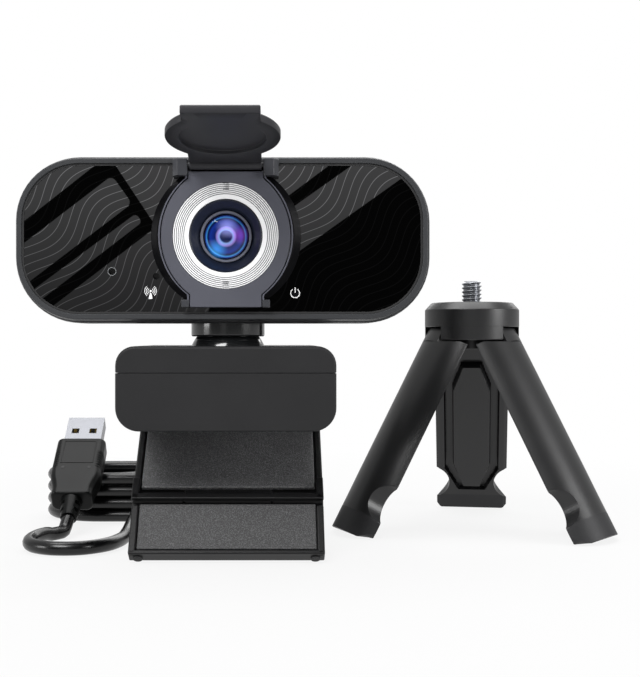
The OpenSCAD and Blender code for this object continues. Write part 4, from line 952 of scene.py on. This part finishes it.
def make_leg():
    """A plate with raised rims, round knuckles at both ends, a bar on side arms over the foot's joint, ribs
    and a boss for the tripod's screw underneath, and a rubber pad on top."""
    form = Form()
    w = LEG_HALF
    block(form, (-w, LEG_END, -WEB), (w, -1.5, WEB), 0.4)
    for x0, x1 in both_sides(w - RIM_W, w):
        block(form, (x0, LEG_END, 1), (x1, -2, RIM_TOP), 0.45)
        block(form, (x0, -47.25, 0), (x1, -45.25, ARM_TOP), 0.25)
        block(form, (x0, ARM_END, ARM_LOW), (x1, -46.25, ARM_TOP), 0.3)
    rod(form, 3.0, -w, w, 0.3, "x")
    rod(form, KNUCKLE_R, -KNUCKLE_HALF, KNUCKLE_HALF, 0.3, "x", (FOOT_HINGE, 0))
    block(form, (-KNUCKLE_HALF, FOOT_HINGE, -WEB), (KNUCKLE_HALF, -46, WEB), 0.3)
    block(form, (0.1 - w, ARM_END, ARM_LOW), (w - 0.1, -51.2, ARM_TOP), 0.3, "side")
    for x in (-18, -9, 9, 18):
        block(form, (x - 0.6, -44, -2.8), (x + 0.6, -6, -1.4), 0.2)
    bore, wall, deep, top = 4.4, 6.2, -6.95, -1.4
    boss = [(bore, deep), (wall - 0.3, deep), (wall, deep + 0.3), (wall, top), (bore, top)]
    turned(form, boss, 72, "z", (0, -24), True)
    form.make("leg_plate", "leg", leg_black, LEG, ["upper_leg"])
    add_pad("leg_rubber", "leg", leg_rubber, LEG, "upper_pad", -47.25, -6.0, 0.8)


def make_foot():
    """A plate with raised rims on three sides, a knuckle at each end of the hinge, a rubber pad and tips."""
    form = Form()
    w = LEG_HALF
    block(form, (-w, FOOT_END, -WEB), (w, -2.7, WEB), 0.35)
    for side, knuckle in zip(both_sides(w - RIM_W, w), both_sides(KNUCKLE_HALF + 0.4, w)):
        block(form, (side[0], FOOT_END, 1), (side[1], -2.7, RIM_TOP), 0.45)
        rod(form, KNUCKLE_R, *knuckle, 0.3, "x")
        block(form, (knuckle[0], -4, -WEB), (knuckle[1], 0, WEB), 0.2)
    block(form, (-w, FOOT_END, 1), (w, -16.3, RIM_TOP), 0.35)
    form.make("foot_plate", "foot", leg_black, FOOT, ["lower_leg"])
    add_pad("foot_rubber", "foot", foot_rubber, FOOT, "lower_pad", -16.1, -2.3, 0.4)
    tips = Form()
    for x in (-24, 24):
        rod(tips, 1.3, -18.0, -17.3, 0.2, "y", (x, 0), 32)
    tips.make("foot_tips", "foot", soft_black, FOOT, ["foot_pads"])


make_leg()
make_foot()

# ---- Small tripod ----

STACK_R, PIVOT_R, PIVOT_Z, LEG_IN, LEG_TOP = 14.2, 9.5, 61.8, 6.6, 59.5
HUB_R, DISC_Z, HUB_LOW, SHOULDER_HALF = 15.0, 64.2, 59.6, 4.7
LEG_LOW = PIVOT_Z - PIVOT_Z / math.cos(SPLAY)
SCOOP_R, SCOOP_Z, SCOOP_MIDDLE, LIMB_HALF = 6.5, LEG_LOW + 12.5, 14.2, 12.12
TOE_R, TOE_Z, SHOE_Z = 15.0, LEG_LOW + 12, LEG_LOW + 7.2


def make_hub():
    """A turned disc with a chamfer and a sunk ring on top, and three lobes between the leg slots."""
    form = Form()
    top = hub_high[2]
    profile = [(0, DISC_Z), (HUB_R - 0.2, DISC_Z), (HUB_R, DISC_Z + 0.2), (HUB_R, top - 2.5)]
    profile += [(14.85, top - 2.2), (13.1, top - 0.25), (12.7, top), (11.9, top), (11.75, top - 0.35)]
    profile += [(11.3, top - 0.35), (11.15, top), (0, top)]
    turned(form, profile, 128, "z")
    a = np.radians(np.linspace(-40, 40, 28))
    lobe = np.vstack([np.stack([14.95 * np.cos(a), 14.95 * np.sin(a)], -1), [[6.2, 0.0]]])
    for turn in TRIPOD_TURNS:
        middle = math.radians(turn + 60)
        c, s = math.cos(middle), math.sin(middle)
        slab(form, lobe @ np.array([[c, s], [-s, c]]), 60.0, DISC_Z + 0.2, 0.35, 0.05, way="top")
    core, low, high = 6.0, 57.0, DISC_Z + 0.1
    turned(form, [(0, low), (core - 0.3, low), (core, low + 0.3), (core, high), (0, high)], 72, "z")
    form.make("tripod_head", "stand", tripod_satin, HUB, ["tripod_hub"])


def make_stud():
    """Radius against turn and height: a thread with flat crests and roots, on a stud that narrows on top."""
    a = np.linspace(0, TAU, 60, endpoint=False)
    low, high, pitch, core, crest = hub_high[2] - 0.3, hub_high[2] + 7.0, 1.27, 2.62, 0.55
    z = np.linspace(low, high, 240)[:, None] + 0 * a[None]
    wave = np.abs(((z / pitch - a[None] / TAU) % 1) * 2 - 1)
    fade = np.clip((high - z) / 0.9, 0, 1)
    r = (core + crest * np.clip(wave * 1.25 - 0.12, 0, 1)) * (0.8 + 0.2 * np.sqrt(fade))
    form = Form().stack(np.stack([r * np.cos(a), r * np.sin(a), z], -1))
    form.make("threaded_stud", "stand", nickel, HUB, ["tripod_stud"], sharp=60)


def leg_half_width(z):
    """Half of a leg's width at height z: the stack's radius, a scoop in from each side and a round toe."""
    w = np.full_like(z, LIMB_HALF)
    dz = z - SCOOP_Z
    scoop = SCOOP_MIDDLE - np.sqrt(np.maximum(SCOOP_R**2 - dz * dz, 0))
    w = np.where(np.abs(dz) < SCOOP_R, np.minimum(w, scoop), w)
    toe = np.sqrt(np.maximum(TOE_R**2 - np.minimum(z - TOE_Z, 0) ** 2, 0))
    return np.minimum(w, toe)


def leg_inside(y, z):
    """Where the inner face lies: flat, with a sunk six-sided field and a raised six-sided panel in it."""
    sink, rise, flank = 2.0, 1.2, 0.35

    def six(w, trim):
        """How far a point lies inside a six-sided outline w wide, cut shorter by trim at both ends."""
        low, high, taper = LEG_LOW + 9.5 + trim, PIVOT_Z - 8 - trim, 9
        end = np.minimum(np.clip((z - low) / taper, -1, 1), np.clip((high - z) / taper, -1, 1))
        return np.minimum(w / 4 * (1 + end), w / 2) - np.abs(y) - 60 * (end < 0)

    sunk = np.clip(six(18.4, 0) / flank, 0, 1)
    panel = np.clip(six(12.8, 2) / flank, 0, 1)
    return LEG_IN + sink * sunk * (1 - panel) - rise * panel * sunk


def cut_flat(p):
    """Slides points under the table, or above the hub's underside, back along the leg to that plane."""
    turn, pivot = np.array(Matrix.Rotation(-SPLAY, 3, "Y")), [PIVOT_R, 0, PIVOT_Z]
    height = ((p - pivot) @ turn.T + pivot)[..., 2]
    lift = (np.maximum(-height, 0) - np.maximum(height - HUB_LOW, 0)) / math.cos(SPLAY)
    return p + np.stack([0 * lift, 0 * lift, lift], -1)


def leg_sections():
    """Heights and sections of a leg: round outside, flat side walls, an inner face as a field of depths."""
    scoop = SCOOP_Z + SCOOP_R * np.sin(np.linspace(-1.57, 1.57, 40))
    z = np.unique(np.concatenate([np.linspace(LEG_LOW + 0.02, LEG_TOP, 110), scoop, [SHOE_Z]]))[:, None]
    w, ease, wall = leg_half_width(z), 0.25, 0.3
    y = w * np.sin(np.linspace(-1, 1, 41)[None] * math.pi / 2)
    outside = np.stack([np.sqrt(STACK_R**2 - y * y), y * (1 - ease / w), z + 0 * y], -1)
    y = w * np.linspace(1, -1, 61)[None]
    wedge = (np.abs(y) + 0.4) / math.tan(math.pi / 3)
    depth = np.minimum(np.maximum(leg_inside(y, z + 0 * y), wedge), np.sqrt(STACK_R**2 - y * y) - wall)
    inside = np.stack([depth, y, z + 0 * y], -1)
    return z[:, 0], cut_flat(np.concatenate([outside, inside], 1))


def leg_shoulder():
    """Rings of the block that carries a leg's pin: round outside as the stack, level on top once splayed."""
    w = SHOULDER_HALF
    b = np.linspace(-w, w, 15)
    wall = np.vstack([np.stack([np.sqrt(STACK_R**2 - b * b), b], -1), [[PIVOT_R, w], [PIVOT_R, -w]]])
    top = PIVOT_Z + (2.1 - (wall[:, 0] - PIVOT_R) * math.sin(SPLAY)) / math.cos(SPLAY)
    top = np.minimum(63.9, top)
    rings = [(wall, 0 * top + 57.0), (wall, top - 0.25), (wall * [0.99, 0.96], top)]
    return [np.column_stack(ring) for ring in rings]


def make_tripod_legs():
    """Each leg is a row of sections with a shoulder and a bearing; its lowest stretch is a rubber shoe."""
    z, section = leg_sections()
    shoulder, w, r = leg_shoulder(), SHOULDER_HALF, 2.2
    upper, lower = section[z >= SHOE_Z - 1e-9], section[z <= SHOE_Z + 1e-9]
    for k, turn in enumerate(TRIPOD_TURNS, 1):
        place = HUB @ Matrix.Rotation(math.radians(turn), 4, "Z") @ Matrix.Translation((PIVOT_R, 0, PIVOT_Z))
        place = place @ Matrix.Rotation(-SPLAY, 4, "Y") @ Matrix.Translation((-PIVOT_R, 0, -PIVOT_Z))
        body = f"tripod_leg_{k}_body"
        form = Form().stack(upper).stack(shoulder)
        rod(form, r, -w, w, 0.25, "y", (PIVOT_R, PIVOT_Z), 40)
        block(form, (PIVOT_R - r, -w, 56), (PIVOT_R + r, w, PIVOT_Z), 0.2)
        form.make(f"tripod_limb_{k}", body, tripod_satin, place, [f"tripod_leg_{k}"])
        Form().stack(lower).make(f"tripod_shoe_{k}", body, shoe_rubber, place, [f"tripod_foot_{k}"])


make_hub()
make_stud()
make_tripod_legs()

# ---- Plug ----

LEAD_R, PITCH, INNER_R, OUTER_R = 2.0, 4.0, 14.0, 18.0
LEFT, RIGHT, COIL_Y, COIL_LOW, COIL_TOP = -44.0, -4.0, 72.0, 2.6, 16.6
PLUG_X, PLUG_Z, GRIP_LOW, GRIP_HIGH, GRIP_H, GRIP_NECK, GRIP_SWELL = -50.0, 5.4, 7.2, 33.2, 7.8, 12.8, 2.9


def plug_place():
    """The plug leans on the coil's front edge, as part.scad has it."""
    rest_y = COIL_Y - math.sqrt((OUTER_R + LEAD_R) ** 2 - (PLUG_X - LEFT) ** 2)
    off = GRIP_H / 2 + 0.2
    mid_y, mid_z = rest_y - off * math.sin(PLUG_LEAN), COIL_TOP + off * math.cos(PLUG_LEAN)
    y = mid_y - (mid_z - PLUG_Z) / math.tan(PLUG_LEAN)
    return Matrix.Translation((PLUG_X, y, PLUG_Z)) @ Matrix.Rotation(PLUG_LEAN, 4, "X")


PLUG = plug_place()


def make_plug():
    """Grip: rounded sections carried along the plug, widening from its neck, with pinched ribs along both
    sides, a raised line frame and two dots on its upper face."""
    y = np.unique(np.concatenate([np.linspace(GRIP_LOW, GRIP_HIGH, 209), [7.3, 7.5, 33.0, 33.1]]))
    f = np.clip((y - 9.6) / 8.0, 0, 1)
    width = GRIP_NECK + GRIP_SWELL * f * f * (3 - 2 * f)
    ends = np.minimum(np.clip((y - GRIP_LOW) / 0.7, 0, 1), np.clip((GRIP_HIGH - y) / 0.9, 0, 1))
    cut = 0.9 * (1 - np.sqrt(np.clip(1 - (1 - ends) ** 2, 0, 1)))
    rib_low, rib_high, rib_pitch, rib_deep = 19.4, 26.8, 1.05, 0.35
    rib = rib_deep * np.clip(np.cos((y - rib_low) / rib_pitch * TAU) * 2 + 0.2, 0, 1)
    rib = rib * ((y > rib_low) & (y < rib_high))
    rings = []
    for depth, w, c, g in zip(y, width, cut, rib):
        rings.append(facing(round_rect(w - 2 * c - 2 * g, GRIP_H - 2 * c, 2.0, 8), depth))
    form = Form().stack(rings)
    x, low, high, half = 5.1, 21.1, 31.4, 0.16
    line = [(-x, high), (x, high), (x, low), (-x, low), (-x, high)]
    for (x0, y0), (x1, y1) in zip(line, line[1:]):
        near = (min(x0, x1) - half, min(y0, y1) - half, 3.7)
        block(form, near, (max(x0, x1) + half, max(y0, y1) + half, 4.03), 0.06)
    dots = Form()
    for x in (-4.2, 4.2):
        rod(dots, 0.62, 3.6, 3.96, 0.04, "z", (x, 18.9), 32)
    dots.make("plug_dots", "stand", soft_black, PLUG, slot="plug_grip")
    form.make("plug_body", "stand", grip_black, PLUG, ["plug_grip"])


make_plug()

# ---- Lead ----

DROP = [
    (0, 27, 78.66), (0, 34, 78.6), (0, 42, 77.1), (0, 49.5, 72.6), (0, 54.6, 65.6), (0, 57, 57),
    (0, 57.8, 48), (0, 58, 39), (0, 58, 31), (-0.3, 58, 24), (-2.6, 58, 17), (-7, 58, 13),
]
OUT = [
    (-2, 54, 14.6), (-10, 53.6, 14.3), (-17, 51.6, 13), (-24, 47.4, 10.6), (-28.8, 40.6, 7.2),
    (-30.6, 32, 4), (-31, 23, 2.4), (-31.6, 14, 2), (-34.6, 5.6, 2), (-41, 0, 2), (-49, -0.4, 2),
    (-55.6, 4.4, 2), (-57.6, 12, 2.2), (-55, 19.6, 2.6),
]
FIRST_LENGTH, BEND_TOP, BEND_LOW = 36.0, (0, 58, 60.0), (0, 58, 12.0)


def smooth_path(points):
    """A centripetal Catmull-Rom curve through the points, sampled every 1.6 mm."""
    gap = 1.6
    p = np.asarray(points, float)
    p = np.vstack([2 * p[0] - p[1], p, 2 * p[-1] - p[-2]])
    done = []
    for a, b, c, d in zip(p, p[1:], p[2:], p[3:]):
        k = np.cumsum([0, *(max(np.linalg.norm(v), 1e-6) ** 0.5 for v in (b - a, c - b, d - c))])
        t = np.linspace(k[1], k[2], max(2, int(np.linalg.norm(c - b) / gap) + 1), endpoint=False)[:, None]
        ab = ((k[1] - t) * a + (t - k[0]) * b) / (k[1] - k[0])
        bc = ((k[2] - t) * b + (t - k[1]) * c) / (k[2] - k[1])
        cd = ((k[3] - t) * c + (t - k[2]) * d) / (k[3] - k[2])
        abc = ((k[2] - t) * ab + (t - k[0]) * bc) / (k[2] - k[0])
        bcd = ((k[3] - t) * bc + (t - k[1]) * cd) / (k[3] - k[1])
        done.append(((k[2] - t) * abc + (t - k[1]) * bcd) / (k[2] - k[1]))
    return np.vstack(done + [p[-2][None]])


def tube(path):
    """Circles carried along a path without twist, each turned from the one before by the smallest angle."""
    t = unit(np.gradient(path, axis=0))
    side = np.cross(t[0], (0, 0, 1.0))
    side = side if np.linalg.norm(side) > 0.1 else np.cross(t[0], (1.0, 0, 0))
    sides = []
    for d in t:
        side = side - d * (side @ d)
        side /= np.linalg.norm(side)
        sides.append(side)
    u = np.array(sides)
    v = np.cross(t, u)
    a = np.linspace(0, TAU, 14, endpoint=False)
    ring = u[:, None] * np.cos(a)[None, :, None] + v[:, None] * np.sin(a)[None, :, None]
    return Form().stack(path[:, None] + LEAD_R * ring)


def turn_point(s, r):
    """A point at distance s along a race-track turn of end radius r, from the front straight's right end."""
    run, half = RIGHT - LEFT, math.pi * r
    s = np.mod(s, 2 * run + 2 * half)
    a1 = -math.pi / 2 - (s - run) / r
    a2 = math.pi / 2 - (s - 2 * run - half) / r
    legs = [s < run, s < run + half, s < 2 * run + half]
    x = np.select(legs, [RIGHT - s, LEFT + r * np.cos(a1), LEFT + s - run - half], RIGHT + r * np.cos(a2))
    y = np.select(legs, [-r + 0 * s, r * np.sin(a1), r + 0 * s], r * np.sin(a2))
    return np.stack([x, COIL_Y + y], -1)


def coil_path():
    """Three turns down the inner layer and four up the outer one; each level changes on the hidden back."""
    f = np.arange(60) / 60
    step = np.clip((f - 0.42) / 0.32, 0, 1)
    step = step * step * (3 - 2 * step)
    sway = 0.12 * np.sin(TAU * f * 2)
    inner, outer = (2 * (RIGHT - LEFT) + TAU * r for r in (INNER_R, OUTER_R))
    wide = turn_point(f * outer, OUTER_R)
    rows = []
    for k in range(3):
        start, level, last = (10.0 if k == 0 else 0.0), COIL_LOW + PITCH * (2 - k), k == 2
        near = turn_point(start + f * (inner - start), INNER_R)
        out = step[:, None] if last else 0.0
        z = level + 0 * step if last else level - PITCH * step + sway
        rows.append(np.column_stack([near * (1 - out) + wide * out, z]))
    for k in range(4):
        z = COIL_LOW + PITCH * k + PITCH * step * (k < 3)
        rows.append(np.column_stack([wide, z]))
    return np.vstack(rows)


def path_steps(path):
    """The distance from each point of a path to the next one."""
    return np.linalg.norm(np.diff(path, axis=0), axis=1)


def make_lead():
    """The lead in two pieces: the first drops from the head, the rest runs on through the coil to the plug.
    """
    end = np.array(PLUG.translation)
    way = np.array([0, math.cos(PLUG_LEAN), math.sin(PLUG_LEAN)])
    drop = smooth_path(DROP)
    cut = int(np.argmin(np.abs(np.cumsum(path_steps(drop)) - FIRST_LENGTH)))
    out = smooth_path([*OUT, tuple(end - 6 * way - [1.2, 0, 0.3]), tuple(end)])
    out[:, 2] = np.maximum(out[:, 2], LEAD_R)
    first, rest = drop[: cut + 1], np.vstack([drop[cut:-1], coil_path(), out[1:]])
    short = tube(first).make("lead_top", None, jacket, slot="cord_drop", sharp=60)
    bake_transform(short)
    stands_for = ["cord_drop", "cord_coil", "cord_lead"]
    long = tube(rest).make("lead", None, jacket, stands_for=stands_for, slot="cord_coil", sharp=60)
    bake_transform(long)
    on_it = [bpy.data.objects[name] for name in ("plug_body", "plug_dots")]
    kept_on_it = ("plug_shell", "plug_tongue", "plug_contacts", "plug_relief", "cord_tie")
    on_it += [nodes[name] for name in kept_on_it]


make_lead()

# ---- Finishes of the pieces kept as the CAD has them ----

kept = {
    "front_panel": panel_gloss, "housing_screws": steel, "rear_lens": filter_pink, "lens_holder": chip_black,
    "ir_filter": filter_pink, "image_sensor": chip_black, "main_board": board_green,
    "board_parts": chip_black, "board_screws": steel, "microphones": mic_dark, "status_light": light_dark,
    "cord_gland": soft_black, "neck_screw": steel, "clamp_nut": steel, "flap_pin": dark_steel,
    "pan_washer": steel, "pan_screw": steel, "cover_screws": steel, "leg_pin": dark_steel,
    "tripod_socket": brass, "foot_pin": dark_steel, "cord_tie": soft_black, "plug_shell": shell_plate,
    "plug_tongue": carrier_black, "plug_contacts": gold, "plug_relief": grip_black, "tripod_pins": steel,
}
for name, material in kept.items():
    nodes[name].data.materials.clear()
    nodes[name].data.materials.append(material)

# ---- Stage ----

CARD_Y = -440.0
SKY_LIGHT, SKY_DARK, SKY_PALE, FLOOR_TONE, FLOOR_NEAR = 0.4, 0.03, 0.6, 0.45, 0.86


def add_light(name, place, aim, size, power):
    """A rectangular lamp at place, turned towards aim."""
    data = bpy.data.lights.new(name, "AREA")
    data.shape = "RECTANGLE"
    data.size, data.size_y = size
    data.energy = power
    lamp = bpy.data.objects.new(name, data)
    bpy.context.scene.collection.objects.link(lamp)
    lamp.location = place
    lamp.rotation_mode = "QUATERNION"
    lamp.rotation_quaternion = Vector(np.array(aim) - np.array(place)).to_track_quat("-Z", "Y")


def make_world():
    """White to the camera and through glass, an even light, and a darker room in front in mirrors."""
    world = bpy.data.worlds.new("studio")
    bpy.context.scene.world = world
    world.use_nodes = True
    tree = world.node_tree
    ray = tree.nodes.new("ShaderNodeLightPath").outputs
    mirrored = ramped(tree, axes_of(tree, own_point(tree, "Generated"))["Y"], -0.75, -0.2, SKY_DARK, SKY_PALE)
    soft = calc(tree, "MULTIPLY", calc(tree, "SUBTRACT", 1.0, ray["Is Glossy Ray"]), SKY_LIGHT)
    soft = calc(tree, "MULTIPLY_ADD", ray["Is Glossy Ray"], mirrored, soft)
    seen = calc(tree, "MAXIMUM", ray["Is Camera Ray"], ray["Is Transmission Ray"])
    ground = tree.nodes["Background"]
    ground.inputs["Color"].default_value = (1, 1, 1, 1)
    put(tree, ground.inputs["Strength"], calc(tree, "MAXIMUM", soft, seen))


def shaders_mixed(tree, factor, first, second):
    """Sets a material's surface to the first shader where factor is 0 and to the second where it is 1."""
    mix = tree.nodes.new("ShaderNodeMixShader")
    for socket, value in zip(mix.inputs, (factor, first, second)):
        tree.links.new(value, socket)
    tree.links.new(mix.outputs["Shader"], tree.nodes["Material Output"].inputs["Surface"])


def make_floor(middle):
    """A pale floor: to the camera, in mirrors and through glass it is nearly all white light, and near the
    object less so, so that its shadow shows."""
    bpy.ops.mesh.primitive_plane_add(size=6, location=(0, 0, -0.0002))
    floor = bpy.context.active_object
    floor.name = "floor"
    m = bpy.data.materials.new("floor_white")
    m.use_nodes = True
    tree = m.node_tree
    shader = tree.nodes["Principled BSDF"]
    shader.inputs["Base Color"].default_value = rgba((FLOOR_TONE, FLOOR_TONE, FLOOR_TONE))
    shader.inputs["Roughness"].default_value = 0.9
    shader.inputs["Specular IOR Level"].default_value = 0.0
    floor.data.materials.append(m)
    away = vector(tree, "DISTANCE", own_point(tree), (middle[0], middle[1], 0.0))
    far = ramped(tree, away, 0.12, 0.30, FLOOR_NEAR, 1.0)
    ray = tree.nodes.new("ShaderNodeLightPath").outputs
    shown = calc(tree, "MAXIMUM", ray["Is Camera Ray"], ray["Is Glossy Ray"])
    shown = calc(tree, "MAXIMUM", shown, ray["Is Transmission Ray"])
    glow = tree.nodes.new("ShaderNodeEmission").outputs["Emission"]
    shaders_mixed(tree, calc(tree, "MULTIPLY", shown, far), shader.outputs["BSDF"], glow)


def make_windows():
    """Window-shaped light cards behind the camera, seen in mirrors alone; corners are where their reflections
    lie on the panel, in millimetres, and the card stands back by the same angle."""
    reach = 1 + (PANEL_Y - CARD_Y) / (PANEL_Y - CAMERA_AT[1])
    shapes = [
        [(-70, 79, 1), (-53.8, 91.8, 0.1), (-35.0, 106.6, 0.1), (-22, 117, 1), (-70, 117, 1)],
        [(-70, 73.6, 1), (-53.6, 86.1, 0.1), (-30.4, 103.9, 1.6), (-25.1, 96.5, 1.6), (-52.5, 75.6, 0.1),
         (-70, 62.5, 1)],
        [(-66, 62.6, 0.5), (-24.0, 93.8, 1.1), (-22.4, 91.5, 1.1), (-64, 59.5, 0.5)],
        [(-60, 58.5, 1), (-20.2, 89.0, 0.1), (-16, 92, 0.1), (-4, 70, 1), (-10, 50, 1), (-60, 50, 1)],
        [(-33, 112, 0.1), (-19.8, 92.1, 0.1), (-15, 86, 0.1), (-2, 86, 0.1), (-2, 112, 0.1)],
        [(2, 88, 0.1), (16.7, 98.6, 0.1), (27.4, 106.6, 0.1), (36, 113, 0.1), (2, 113, 0.1)],
        [(42, 112.6, 0.1), (16.0, 94.2, 0.1), (16.0, 81.3, 0.1), (58, 111.2, 0.1)],
    ]
    card = Form()
    for corners in shapes:
        flat = rounded_poly(corners, 8)
        card.cap(facing(flat + (reach - 1) * (flat - CAMERA_AT[[0, 2]]), CARD_Y))
    m = bpy.data.materials.new("window_light")
    m.use_nodes = True
    tree = m.node_tree
    tree.nodes.remove(tree.nodes["Principled BSDF"])
    light, clear = tree.nodes.new("ShaderNodeEmission"), tree.nodes.new("ShaderNodeBsdfTransparent")
    height = axes_of(tree, own_point(tree))["Z"]
    put(tree, light.inputs["Strength"], ramped(tree, height, 0.05, 0.20, 0.35, 1.15))
    ray = tree.nodes.new("ShaderNodeLightPath").outputs
    shaders_mixed(tree, ray["Is Glossy Ray"], clear.outputs["BSDF"], light.outputs["Emission"])
    card.make("window_card", None, m, even=False)


def make_stage():
    """World, floor and window cards, and soft lamps at the places given in metres."""
    make_world()
    middle = np.mean(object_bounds(), axis=0)
    make_floor(middle)
    make_windows()
    add_light("key", (-0.35, -0.7, 0.8), middle, (0.5, 0.4), 9.5)
    add_light("fill", (0.8, -0.5, 0.32), middle, (0.4, 0.4), 6.0)
    add_light("side", (-0.85, -0.35, 0.22), middle, (0.3, 0.3), 2.5)
    add_light("top", (0.0, 0.1, 0.9), middle, (0.9, 0.4), 7.0)
    add_light("back", (0.2, 0.9, 0.6), middle, (0.9, 0.5), 4.0)


make_stage()
